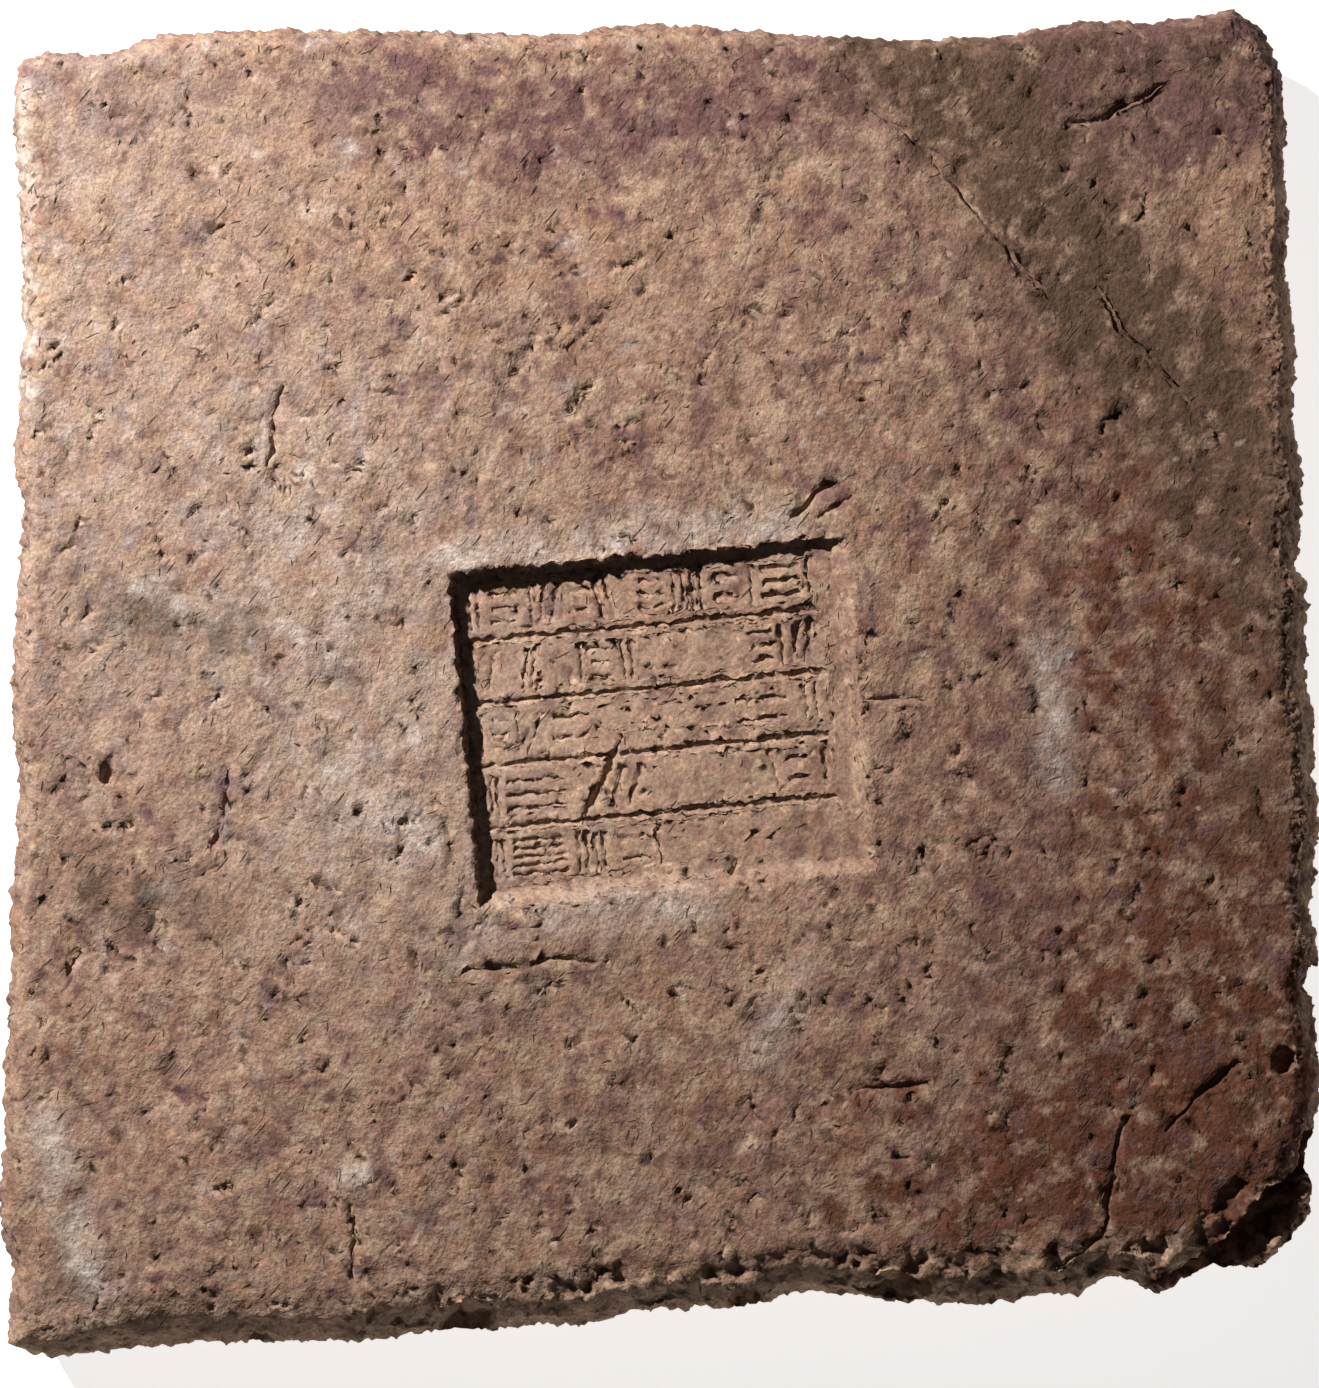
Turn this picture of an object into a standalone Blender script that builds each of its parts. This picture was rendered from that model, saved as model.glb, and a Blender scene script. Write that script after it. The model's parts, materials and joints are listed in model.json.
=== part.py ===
"""A square ancient building brick of coarse clay, lying flat with its stamped face up.

Metres, +Z up. The origin is under the middle of the brick, on the plane that it lies on. +X runs
along the rows of the stamp and +Y towards the edge above the first row. The brick is one solid: a
ragged slab whose edges slump and break away, a sunken stamp of five ruled rows of plain strokes,
and the cracks, gouges and lost corner that show from a step away.
"""

import math
import random

import bmesh
import bpy
from mathutils import Matrix, Vector, noise

# The slab.
BRICK_WIDTH = 0.320
BRICK_LENGTH = 0.327
BRICK_THICKNESS = 0.070
FACE_SWELL = 0.0016
FACE_SWELL_SPAN = 0.085
FACE_SWELL_SAMPLES = 40
SIDE_ROUGHNESS = 0.0016
SIDE_ROUGHNESS_SPAN = 0.021
SIDE_HOLLOW = 0.0012
FOOT_ROUND = 0.004

# How far the face stops short of the outline at each side, and how far it falls on the way there.
SHOULDER_WIDTH = {"bottom": 0.0125, "right": 0.0060, "top": 0.0036, "left": 0.0034}
SHOULDER_DROP = {"bottom": 0.0115, "right": 0.0105, "top": 0.0060, "left": 0.0060}

# The stamp: a tilted sunken rectangle, pressed deeper at the left than at the right. Its place, and
# every place below, is given in shares of the brick's width and length from the middle.
STAMP_WIDTH = 0.0965
STAMP_HEIGHT = 0.0815
STAMP_PLACE = (0.0025, -0.0287)
STAMP_TURN = math.radians(5.4)
STAMP_DEPTH_LEFT = 0.0044
STAMP_DEPTH_RIGHT = 0.0019
STAMP_WALL_RUN = {"left": 0.0007, "top": 0.0008, "right": 0.0040, "bottom": 0.0038}
STAMP_CUTTER_REACH = 1.7

# The rows of strokes in the stamp.
ROW_COUNT = 5
ROW_MARGIN = 0.0012
END_MARGIN = 0.0042
RULING_WIDTH = 0.0019
RULING_DEPTH = 0.0009
STROKE_WIDTH = 0.0013
STROKE_DEPTH = 0.0008
STROKE_TAIL = 0.5
STROKE_GAP = 0.0011
CUTTER_LIFT = 0.0007

# How finely the slab is divided.
SIDE_STEPS = 48
FACE_STEPS = 24
SHOULDER_STEPS = 3
WALL_STEPS = 4
FOOT_STEPS = 2

CLAY_COLOUR = (0.36, 0.24, 0.17, 1.0)
CLAY_ROUGHNESS = 0.92

# The outline, anticlockwise from the lower left corner. Each corner gives how far it stands in from
# the box in X and in Y. Each side gives, for shares of its length, how far it stands in.
CORNERS = (
    ("bottom_left", 0.0027, 0.0029),
    ("bottom_right", 0.0070, 0.0289),
    ("top_right", 0.0148, 0.0044),
    ("top_left", 0.0049, 0.0138),
)
SIDES = (
    ("bottom", (
        (0.042, 0.0), (0.124, 0.0034), (0.258, 0.0038), (0.371, 0.0072), (0.434, 0.0080),
        (0.479, 0.0112), (0.578, 0.0121), (0.596, 0.0160), (0.720, 0.0129), (0.810, 0.0152),
        (0.848, 0.0200), (0.875, 0.0158), (0.921, 0.0225), (0.955, 0.0218),
    )),
    ("right", (
        (0.116, 0.0010), (0.142, 0.0039), (0.183, 0.0005), (0.244, 0.0004), (0.269, 0.0024),
        (0.302, 0.0), (0.339, 0.0027), (0.392, 0.0002), (0.465, 0.0017), (0.517, 0.0039),
        (0.577, 0.0029), (0.597, 0.0063), (0.640, 0.0040), (0.714, 0.0068), (0.747, 0.0056),
        (0.800, 0.0080), (0.943, 0.0087),
    )),
    ("top", (
        (0.061, 0.0), (0.128, 0.0034), (0.166, 0.0032), (0.257, 0.0070), (0.333, 0.0080),
        (0.356, 0.0067), (0.515, 0.0041), (0.579, 0.0063), (0.788, 0.0053), (0.870, 0.0063),
        (0.924, 0.0109), (0.964, 0.0108),
    )),
    ("left", (
        (0.064, 0.0036), (0.210, 0.0062), (0.340, 0.0040), (0.364, 0.0058), (0.510, 0.0034),
        (0.600, 0.0050), (0.670, 0.0030), (0.850, 0.0012), (0.900, 0.0), (0.928, 0.0034),
        (0.965, 0.0019),
    )),
)

# Each row of the stamp, as groups of like strokes: the kind, the start and the length as shares of
# the row, and how many strokes it has. Bars lie along the row, posts stand across it, and slants
# and falls lean forwards and backwards.
STROKE_ROWS = (
    (("posts", 0.015, 0.050, 2), ("bars", 0.085, 0.080, 3), ("posts", 0.190, 0.020, 1),
     ("slants", 0.215, 0.070, 2), ("bars", 0.305, 0.060, 2), ("falls", 0.375, 0.060, 2),
     ("bars", 0.500, 0.075, 3), ("posts", 0.590, 0.100, 4), ("bars", 0.710, 0.080, 2),
     ("posts", 0.805, 0.025, 1), ("bars", 0.845, 0.110, 3), ("posts", 0.965, 0.030, 1)),
    (("falls", 0.015, 0.035, 1), ("slants", 0.055, 0.035, 1), ("slants", 0.155, 0.050, 2),
     ("posts", 0.310, 0.030, 1), ("bars", 0.350, 0.065, 3), ("posts", 0.430, 0.050, 2),
     ("bars", 0.800, 0.065, 3), ("posts", 0.875, 0.025, 1), ("slants", 0.910, 0.070, 2)),
    (("posts", 0.015, 0.030, 1), ("bars", 0.055, 0.060, 3), ("posts", 0.120, 0.025, 1),
     ("slants", 0.150, 0.060, 1), ("bars", 0.225, 0.110, 2), ("bars", 0.740, 0.150, 2),
     ("posts", 0.925, 0.060, 2)),
    (("posts", 0.010, 0.060, 3), ("bars", 0.085, 0.165, 3), ("slants", 0.370, 0.100, 2),
     ("falls", 0.820, 0.035, 1), ("bars", 0.870, 0.060, 2), ("posts", 0.965, 0.030, 1)),
    (("posts", 0.010, 0.060, 3), ("bars", 0.085, 0.155, 5), ("posts", 0.260, 0.095, 4),
     ("bars", 0.385, 0.090, 2), ("posts", 0.485, 0.020, 1)),
)

# Cracks and gouges in the face: the width and the depth at the middle, then the places passed.
CRACKS = (
    ("fold_crease", 0.0022, 0.0011,
     ((0.134, 0.453), (0.162, 0.425), (0.209, 0.388), (0.247, 0.339), (0.294, 0.281))),
    ("fold_tail", 0.0020, 0.0009, ((0.328, 0.291), (0.362, 0.242), (0.394, 0.211), (0.419, 0.180))),
    ("corner_crevice", 0.0020, 0.0016,
     ((0.306, 0.413), (0.341, 0.416), (0.359, 0.431), (0.381, 0.443))),
    ("groove_below_stamp", 0.0024, 0.0012,
     ((-0.156, -0.220), (-0.137, -0.209), (-0.103, -0.208), (-0.044, -0.202))),
    ("slit_upper_left", 0.0016, 0.0014, ((-0.285, 0.217), (-0.288, 0.190), (-0.294, 0.159))),
    ("scratch_upper", 0.0018, 0.0012, ((0.098, 0.122), (0.134, 0.150))),
    ("scratch_lower", 0.0016, 0.0010, ((0.119, 0.122), (0.145, 0.138))),
    ("gash_left", 0.0028, 0.0020, ((-0.438, -0.196), (-0.443, -0.205), (-0.450, -0.216))),
    ("crack_left", 0.0018, 0.0018,
     ((-0.325, -0.061), (-0.327, -0.095), (-0.332, -0.113), (-0.341, -0.124))),
    ("crack_in_stamp", 0.0014, 0.0014,
     ((-0.026, -0.034), (-0.039, -0.063), (-0.049, -0.083), (-0.056, -0.098))),
    ("crack_low_in_stamp", 0.0016, 0.0012, ((0.058, -0.129), (0.054, -0.141))),
    ("crack_by_stamp", 0.0022, 0.0014, ((0.153, -0.012), (0.175, -0.009), (0.200, -0.014))),
    ("crack_low_middle", 0.0022, 0.0016, ((0.144, -0.301), (0.175, -0.297), (0.203, -0.294))),
    ("crack_low_left", 0.0014, 0.0014, ((-0.231, -0.379), (-0.233, -0.407), (-0.231, -0.440))),
    ("crack_lower_right", 0.0020, 0.0016,
     ((0.380, -0.330), (0.413, -0.300), (0.430, -0.283), (0.441, -0.277))),
    ("crevice_lower_right", 0.0024, 0.0020,
     ((0.353, -0.318), (0.337, -0.373), (0.342, -0.391), (0.334, -0.408), (0.302, -0.431),
      (0.278, -0.443))),
)
CRACK_END = 0.35

# Lost pieces of the edge: the place, with its height as a share of the thickness, then the reach in
# X, Y and Z, and the turn in radians.
CHIPS = (
    ("socket_bottom", (-0.145, -0.477, 0.943), (0.0100, 0.0080, 0.0090), 0.05),
    ("bite_bottom_middle", (0.069, -0.465, 0.914), (0.0060, 0.0070, 0.0100), 0.30),
    ("bite_bottom_right", (0.175, -0.453, 0.950), (0.0120, 0.0060, 0.0070), 0.10),
    ("bite_bottom_left", (-0.312, -0.496, 0.900), (0.0110, 0.0050, 0.0090), 0.00),
    ("notch_right_upper", (0.492, 0.092, 0.900), (0.0050, 0.0040, 0.0140), 0.40),
    ("notch_right_lower", (0.500, -0.220, 0.857), (0.0060, 0.0050, 0.0120), 0.20),
    ("pit_left", (-0.416, -0.066, 0.986), (0.0022, 0.0030, 0.0030), 0.40),
    ("pit_right", (0.472, -0.278, 0.971), (0.0030, 0.0034, 0.0030), 0.00),
    ("foot_front", (-0.281, -0.495, 0.029), (0.0220, 0.0060, 0.0100), 0.10),
    ("foot_right", (0.487, 0.153, 0.014), (0.0060, 0.0260, 0.0120), 0.00),
    ("foot_back", (0.125, 0.489, 0.029), (0.0280, 0.0070, 0.0100), 0.00),
    ("foot_left", (-0.491, 0.214, 0.043), (0.0060, 0.0180, 0.0140), 0.10),
)
CHIP_ROUGHNESS = 0.22
CHIP_SEED = 11

# The lost lower right corner: the line along which the upper layer broke, as distances in from the
# box's right side and up from its lower side, the depth of the ledge left, and its fall outwards.
BREAK_LINE = (
    (0.0520, 0.0130), (0.0390, 0.0200), (0.0285, 0.0255), (0.0215, 0.0325), (0.0140, 0.0410),
    (0.0062, 0.0465), (0.0035, 0.0560),
)
LEDGE_DEPTH = 0.0110
LEDGE_FALL = 0.0060
BREAK_REACH = 0.0300


def clear_scene():
    """Removes whatever the scene starts with."""
    for item in list(bpy.data.objects):
        bpy.data.objects.remove(item)


def blend(start, end, share):
    """A value that eases from start to end with level ends, for a share from 0 to 1."""
    eased = share * share * (3 - 2 * share)
    return start + (end - start) * eased


def read_curve(points, at):
    """The value at a place, from (place, value) pairs in order, eased from each to the next."""
    if at <= points[0][0]:
        return points[0][1]
    for (start, low), (end, high) in zip(points, points[1:]):
        if at <= end:
            return blend(low, high, (at - start) / (end - start))
    return points[-1][1]


def side_point(side, along, inset):
    """A point of the outline: along a side by a share of its length, and in from it."""
    half_x, half_y = BRICK_WIDTH / 2, BRICK_LENGTH / 2
    if side == "bottom":
        return Vector((-half_x + along * BRICK_WIDTH, -half_y + inset))
    if side == "right":
        return Vector((half_x - inset, -half_y + along * BRICK_LENGTH))
    if side == "top":
        return Vector((half_x - along * BRICK_WIDTH, half_y - inset))
    return Vector((-half_x + inset, half_y - along * BRICK_LENGTH))


def outline():
    """The brick's outline from above, as a loop of points that starts at the lower left corner."""
    loop = []
    for index, (side, insets) in enumerate(SIDES):
        _, start_x, start_y = CORNERS[index]
        _, end_x, end_y = CORNERS[(index + 1) % len(CORNERS)]
        flat = side in ("bottom", "top")
        length = BRICK_WIDTH if flat else BRICK_LENGTH
        begin, start_inset = (start_x, start_y) if flat else (start_y, start_x)
        stop, end_inset = (end_x, end_y) if flat else (end_y, end_x)
        curve = [(begin / length, start_inset), *insets, (1 - stop / length, end_inset)]
        for step in range(SIDE_STEPS):
            along = curve[0][0] + (curve[-1][0] - curve[0][0]) * step / SIDE_STEPS
            loop.append(side_point(side, along, read_curve(curve, along)))
    return fitted(loop)


def fitted(loop):
    """The loop stretched by a hair so that it is exactly as wide and as long as the brick."""
    low = Vector((min(p.x for p in loop), min(p.y for p in loop)))
    high = Vector((max(p.x for p in loop), max(p.y for p in loop)))
    size = (BRICK_WIDTH / (high.x - low.x), BRICK_LENGTH / (high.y - low.y))
    middle = (low + high) / 2
    return [Vector(((p.x - middle.x) * size[0], (p.y - middle.y) * size[1])) for p in loop]


def inward_directions(loop):
    """For each point of the loop, the direction straight in from the edge there."""
    count = len(loop)
    reach = 2
    found = []
    for index in range(count):
        along = loop[(index + reach) % count] - loop[index - reach]
        found.append(Vector((-along.y, along.x)).normalized())
    return found


def by_side(sizes):
    """A size for each point of the outline, given for each side and eased round the corners."""
    names = [side for side, _ in SIDES]
    corner = SIDE_STEPS / 8
    found = []
    for index, name in enumerate(names):
        before, after = sizes[names[index - 1]], sizes[names[(index + 1) % len(names)]]
        own = sizes[name]
        for step in range(SIDE_STEPS):
            if step < corner:
                found.append(blend((before + own) / 2, own, step / corner))
            elif step > SIDE_STEPS - corner:
                found.append(blend(own, (after + own) / 2, 1 - (SIDE_STEPS - step) / corner))
            else:
                found.append(own)
    return found


def place_of(across, up):
    """A place given in shares of the width and length from the middle, in metres."""
    return across * BRICK_WIDTH, up * BRICK_LENGTH


def swell_at(x, y):
    """How far the slow swells of the face lift it at a place."""
    return FACE_SWELL / 2 * noise.noise(Vector((x / FACE_SWELL_SPAN, y / FACE_SWELL_SPAN, 0.5)))


def highest_swell():
    """The height of the highest swell, so that the brick is exactly as thick as it should be."""
    shares = [step / FACE_SWELL_SAMPLES - 0.5 for step in range(FACE_SWELL_SAMPLES + 1)]
    return max(swell_at(*place_of(across, up)) for across in shares for up in shares)


def face_height(x, y):
    """How high the stamped face is at a place outside the stamp."""
    return BRICK_THICKNESS - HIGHEST_SWELL + swell_at(x, y)


def rough(point):
    """How far a place on a side is pushed in or out by the coarse clay, from -1 to 1."""
    return noise.noise(point / SIDE_ROUGHNESS_SPAN) + 0.5 * noise.noise(point * 2.3 / SIDE_ROUGHNESS_SPAN)


def ring_profile():
    """The rings from the face down to the foot: (share of the shoulder's width, share of its drop,
    share of the wall below it, share of the foot's rounding)."""
    rings = []
    for step in range(SHOULDER_STEPS + 1):
        angle = math.pi / 2 * step / SHOULDER_STEPS
        rings.append((1 - math.sin(angle), 1 - math.cos(angle), 0.0, 0.0))
    for step in range(1, WALL_STEPS + 1):
        rings.append((0.0, 1.0, step / (WALL_STEPS + 1), 0.0))
    for step in range(FOOT_STEPS + 1):
        angle = math.pi / 2 * step / FOOT_STEPS
        rings.append((1 - math.cos(angle), 1.0, 1.0, math.sin(angle)))
    return rings


def slab_rings():
    """The rings of points that bound the face, the sides and the underside."""
    loop = outline()
    inward = inward_directions(loop)
    widths, drops = by_side(SHOULDER_WIDTH), by_side(SHOULDER_DROP)
    rings = []
    for out, down, wall, foot in ring_profile():
        ring = []
        for point, direction, width, drop in zip(loop, inward, widths, drops):
            reach = FOOT_ROUND if foot or wall == 1.0 else width
            edge = face_height(point.x, point.y)
            wall_top, wall_foot = edge - drop, FOOT_ROUND
            height = edge - drop * down if wall == 0.0 else wall_top + (wall_foot - wall_top) * wall
            height -= FOOT_ROUND * foot
            inset = reach * out + SIDE_HOLLOW * math.sin(math.pi * wall)
            if wall > 0.0 or out > 0.0:
                place = Vector((point.x, point.y, height))
                inset += SIDE_ROUGHNESS * (0.6 + 0.6 * rough(place))
            moved = point + direction * inset
            level = face_height(moved.x, moved.y) if (out, down) == (1.0, 0.0) else height
            ring.append(Vector((moved.x, moved.y, level)))
        rings.append(ring)
    for point in rings[-1]:
        point.z = 0.0
    return rings


def face_grid(edge):
    """Points over the face, between the four sides of its edge."""
    step = SIDE_STEPS // FACE_STEPS
    corners = [edge[SIDE_STEPS * k] for k in range(4)]
    grid = []
    for row in range(FACE_STEPS + 1):
        line = []
        for column in range(FACE_STEPS + 1):
            u, v = column / FACE_STEPS, row / FACE_STEPS
            low, high = edge[column * step], edge[3 * SIDE_STEPS - column * step]
            left, right = edge[-row * step], edge[SIDE_STEPS + row * step]
            across = low * (1 - v) + high * v + left * (1 - u) + right * u
            mixed = (corners[0] * (1 - u) * (1 - v) + corners[1] * u * (1 - v)
                     + corners[2] * u * v + corners[3] * (1 - u) * v)
            place = across - mixed
            line.append(Vector((place.x, place.y, face_height(place.x, place.y))))
        grid.append(line)
    return grid


def edge_index(row, column):
    """Where a point on the rim of the face grid stands in the edge ring, or None inside it."""
    step = SIDE_STEPS // FACE_STEPS
    if row == 0:
        return column * step
    if column == FACE_STEPS:
        return SIDE_STEPS + row * step
    if row == FACE_STEPS:
        return 3 * SIDE_STEPS - column * step
    if column == 0:
        return (4 * SIDE_STEPS - row * step) % (4 * SIDE_STEPS)
    return None


def make_face(mesh, edge_verts, grid):
    """The stamped face: a grid of faces that takes up every point of the edge ring."""
    step = SIDE_STEPS // FACE_STEPS
    count = len(edge_verts)
    verts = []
    for row, line in enumerate(grid):
        found = []
        for column, place in enumerate(line):
            index = edge_index(row, column)
            found.append(mesh.verts.new(place) if index is None else edge_verts[index])
        verts.append(found)
    for row in range(FACE_STEPS):
        for column in range(FACE_STEPS):
            corners = [(row, column), (row, column + 1), (row + 1, column + 1), (row + 1, column)]
            face = []
            for start, end in zip(corners, corners[1:] + corners[:1]):
                face.append(verts[start[0]][start[1]])
                first, last = edge_index(*start), edge_index(*end)
                if first is not None and last is not None and (last - first) % count == step:
                    face += [edge_verts[(first + k) % count] for k in range(1, step)]
            mesh.faces.new(face)


def new_object(name, mesh, helper=False):
    """An object made from a bmesh. A helper, such as a cutter, is left out of the render."""
    data = bpy.data.meshes.new(name)
    mesh.to_mesh(data)
    mesh.free()
    item = bpy.data.objects.new(name, data)
    bpy.context.scene.collection.objects.link(item)
    if helper:
        item.hide_render = True
        item.display_type = "WIRE"
    return item


def make_slab():
    """The slab before it is stamped or broken."""
    mesh = bmesh.new()
    rings = slab_rings()
    placed = [[mesh.verts.new(point) for point in ring] for ring in rings]
    make_face(mesh, placed[0], face_grid(rings[0]))
    count = len(rings[0])
    for upper, lower in zip(placed, placed[1:]):
        for index in range(count):
            after = (index + 1) % count
            mesh.faces.new((upper[index], lower[index], lower[after], upper[after]))
    mesh.faces.new(list(reversed(placed[-1])))
    bmesh.ops.recalc_face_normals(mesh, faces=mesh.faces)
    return new_object("brick", mesh)


def stamp_depth(u):
    """How deep the stamp's floor lies below the face, at a distance right of its middle."""
    share = u / STAMP_WIDTH + 0.5
    return STAMP_DEPTH_LEFT + (STAMP_DEPTH_RIGHT - STAMP_DEPTH_LEFT) * share


def stamp_place(u, v, above_floor):
    """A point at u along the stamp's rows and v across them, some way above its floor."""
    centre_x, centre_y = place_of(*STAMP_PLACE)
    across, up = math.cos(STAMP_TURN), math.sin(STAMP_TURN)
    x = centre_x + u * across - v * up
    y = centre_y + u * up + v * across
    return Vector((x, y, face_height(centre_x, centre_y) - stamp_depth(u) + above_floor))


def stamp_local(x, y):
    """A place on the face as its distances along the stamp's rows and across them."""
    centre_x, centre_y = place_of(*STAMP_PLACE)
    across, up = math.cos(STAMP_TURN), math.sin(STAMP_TURN)
    x, y = x - centre_x, y - centre_y
    return x * across + y * up, y * across - x * up


def surface_height(x, y):
    """How high the face is at a place, whether outside the stamp or on its floor."""
    u, v = stamp_local(x, y)
    inside = abs(u) < STAMP_WIDTH / 2 and abs(v) < STAMP_HEIGHT / 2
    return stamp_place(u, v, 0).z if inside else face_height(x, y)


def stamp_cutter():
    """The block that sinks the stamp, with steep walls at left and top and sloping ones elsewhere."""
    mesh = bmesh.new()
    half_u, half_v = STAMP_WIDTH / 2, STAMP_HEIGHT / 2
    rings = []
    for share in (0.0, STAMP_CUTTER_REACH):
        ring = []
        for side_u, side_v in ((-1, -1), (1, -1), (1, 1), (-1, 1)):
            run_u = STAMP_WALL_RUN["left" if side_u < 0 else "right"]
            run_v = STAMP_WALL_RUN["bottom" if side_v < 0 else "top"]
            u = side_u * (half_u - run_u * (1 - share))
            v = side_v * (half_v - run_v * (1 - share))
            point = stamp_place(u, v, 0)
            point.z = stamp_place(side_u * half_u, v, 0).z + stamp_depth(side_u * half_u) * share
            ring.append(mesh.verts.new(point))
        rings.append(ring)
    close_prism(mesh, rings)
    return new_object("stamp_cutter", mesh, helper=True)


def close_prism(mesh, rings):
    """Faces between rings of equal length, and over the first and the last."""
    for lower, upper in zip(rings, rings[1:]):
        for index in range(len(lower)):
            after = (index + 1) % len(lower)
            mesh.faces.new((lower[index], lower[after], upper[after], upper[index]))
    mesh.faces.new(list(reversed(rings[0])))
    mesh.faces.new(rings[-1])
    bmesh.ops.recalc_face_normals(mesh, faces=mesh.faces)


def groove(mesh, stations):
    """A V-shaped cutter through stations of (middle of its mouth, direction to its left, width,
    depth), with upright walls that stand a little proud of the mouth."""
    rings = []
    lift = Vector((0, 0, CUTTER_LIFT))
    for middle, left, width, depth in stations:
        half = left * width / 2
        bottom = middle - Vector((0, 0, depth))
        ring = (middle + half + lift, middle + half, bottom, middle - half, middle - half + lift)
        rings.append([mesh.verts.new(point) for point in ring])
    close_prism(mesh, rings)


def stamp_groove(mesh, start, end, width, depth, tail=1.0):
    """A groove in the stamp's floor from start to end, in the stamp's own u and v."""
    along = Vector(end) - Vector(start)
    left = (stamp_place(-along.y, along.x, 0) - stamp_place(0, 0, 0)).normalized()
    stations = []
    for (u, v), share in ((start, 1.0), (end, tail)):
        stations.append((stamp_place(u, v, 0), left, width * share, depth * share))
    groove(mesh, stations)


def row_span(row):
    """The lower and upper v of a row of the stamp, the first row being at the top."""
    inner_top = STAMP_HEIGHT / 2 - STAMP_WALL_RUN["top"] - ROW_MARGIN
    inner_bottom = -STAMP_HEIGHT / 2 + STAMP_WALL_RUN["bottom"]
    pitch = (inner_top - inner_bottom) / ROW_COUNT
    upper = inner_top - pitch * row
    return upper - pitch, upper


def row_ends():
    """The u at which the rows begin and end."""
    start = -STAMP_WIDTH / 2 + STAMP_WALL_RUN["left"] + ROW_MARGIN
    end = STAMP_WIDTH / 2 - STAMP_WALL_RUN["right"] - END_MARGIN
    return start, end


def ruling_cutter():
    """The grooves that part the rows."""
    mesh = bmesh.new()
    start, end = row_ends()
    for row in range(1, ROW_COUNT):
        v = row_span(row)[1]
        stamp_groove(mesh, (start, v), (end, v), RULING_WIDTH, RULING_DEPTH, tail=0.9)
    return new_object("ruling_cutter", mesh, helper=True)


def group_strokes(kind, start, length, count, low, high):
    """The strokes of one group, each as its two ends in u and v."""
    gap = STROKE_GAP / 2
    low, high = low + gap, high - gap
    strokes = []
    for index in range(count):
        share = (index + 0.5) / count
        if kind == "bars":
            v = high + (low - high) * share
            strokes.append(((start, v), (start + length, v)))
            continue
        u = start + length * share
        lean = {"posts": 0.0, "slants": 0.42, "falls": -0.42}[kind] * length / count
        strokes.append(((u + lean, high), (u - lean, low)))
    return strokes


def stroke_cutter():
    """The rows of plain strokes: tapering grooves in groups, which spell nothing."""
    mesh = bmesh.new()
    row_start, row_end = row_ends()
    for row, groups in enumerate(STROKE_ROWS[:ROW_COUNT]):
        low, high = row_span(row)
        low, high = low + RULING_WIDTH / 2 + STROKE_GAP, high - RULING_WIDTH / 2 - STROKE_GAP
        for kind, start, length, count in groups:
            u = row_start + (row_end - row_start) * start
            span = (row_end - row_start) * length
            for first, last in group_strokes(kind, u, span, count, low, high):
                stamp_groove(mesh, first, last, STROKE_WIDTH, STROKE_DEPTH, STROKE_TAIL)
    return new_object("stroke_cutter", mesh, helper=True)


def crack_cutters():
    """A cutter for each crack, widest and deepest at its middle and closed at its ends."""
    found = []
    for name, width, depth, shares in CRACKS:
        mesh = bmesh.new()
        places = [Vector(place_of(*share)) for share in shares]
        last = len(places) - 1
        stations = []
        for index, place in enumerate(places):
            along = places[min(index + 1, last)] - places[max(index - 1, 0)]
            left = Vector((-along.y, along.x, 0)).normalized()
            swell = CRACK_END + (1 - CRACK_END) * math.sin(math.pi * (index + 0.5) / (last + 1))
            middle = Vector((place.x, place.y, surface_height(place.x, place.y)))
            stations.append((middle, left, width * swell, depth * swell))
        groove(mesh, stations)
        found.append(new_object(name, mesh, helper=True))
    return found


def chip_cutters():
    """A lumpy cutter for each lost piece of the edge."""
    drawn = random.Random(CHIP_SEED)
    found = []
    for name, (across, up, height), reach, turn in CHIPS:
        mesh = bmesh.new()
        bmesh.ops.create_icosphere(mesh, subdivisions=2, radius=1.0)
        for vert in mesh.verts:
            vert.co *= 1 + CHIP_ROUGHNESS * drawn.uniform(-1, 1)
        place = (*place_of(across, up), height * BRICK_THICKNESS)
        sized = Matrix.Diagonal((*reach, 1.0))
        placed = Matrix.Translation(place) @ Matrix.Rotation(turn, 4, "Z") @ sized
        bmesh.ops.transform(mesh, matrix=placed, verts=mesh.verts)
        found.append(new_object(name, mesh, helper=True))
    return found


def corner_cutter():
    """The block that takes the upper layer off the lower right corner and leaves a ledge."""
    mesh = bmesh.new()
    corner = Vector((BRICK_WIDTH / 2, -BRICK_LENGTH / 2))
    line = [Vector((corner.x - x, corner.y + y)) for x, y in BREAK_LINE]
    far = [corner + Vector((BREAK_REACH, line[-1].y - corner.y)),
           corner + Vector((BREAK_REACH, -BREAK_REACH)),
           corner + Vector((line[0].x - corner.x, -BREAK_REACH))]
    top = BRICK_THICKNESS + LEDGE_FALL
    floor = BRICK_THICKNESS - LEDGE_DEPTH
    lower = [Vector((*p, floor)) for p in line] + [Vector((*p, floor - LEDGE_FALL)) for p in far]
    upper = [Vector((*p, top)) for p in line + far]
    close_prism(mesh, [[mesh.verts.new(p) for p in ring] for ring in (lower, upper)])
    return new_object("corner_cutter", mesh, helper=True)


def clay_material():
    """Coarse fired clay, dull and brown."""
    material = bpy.data.materials.new("clay")
    material.use_nodes = True
    shader = material.node_tree.nodes["Principled BSDF"]
    shader.inputs["Base Color"].default_value = CLAY_COLOUR
    shader.inputs["Roughness"].default_value = CLAY_ROUGHNESS
    shader.inputs["Metallic"].default_value = 0.0
    return material


def cut(item, cutter, crossing=False):
    """Takes a cutter out of an object. A crossing cutter is one whose own pieces may cross."""
    modifier = item.modifiers.new(cutter.name, "BOOLEAN")
    modifier.operation = "DIFFERENCE"
    modifier.solver = "EXACT"
    modifier.use_self = crossing
    modifier.object = cutter


HIGHEST_SWELL = highest_swell()


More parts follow.
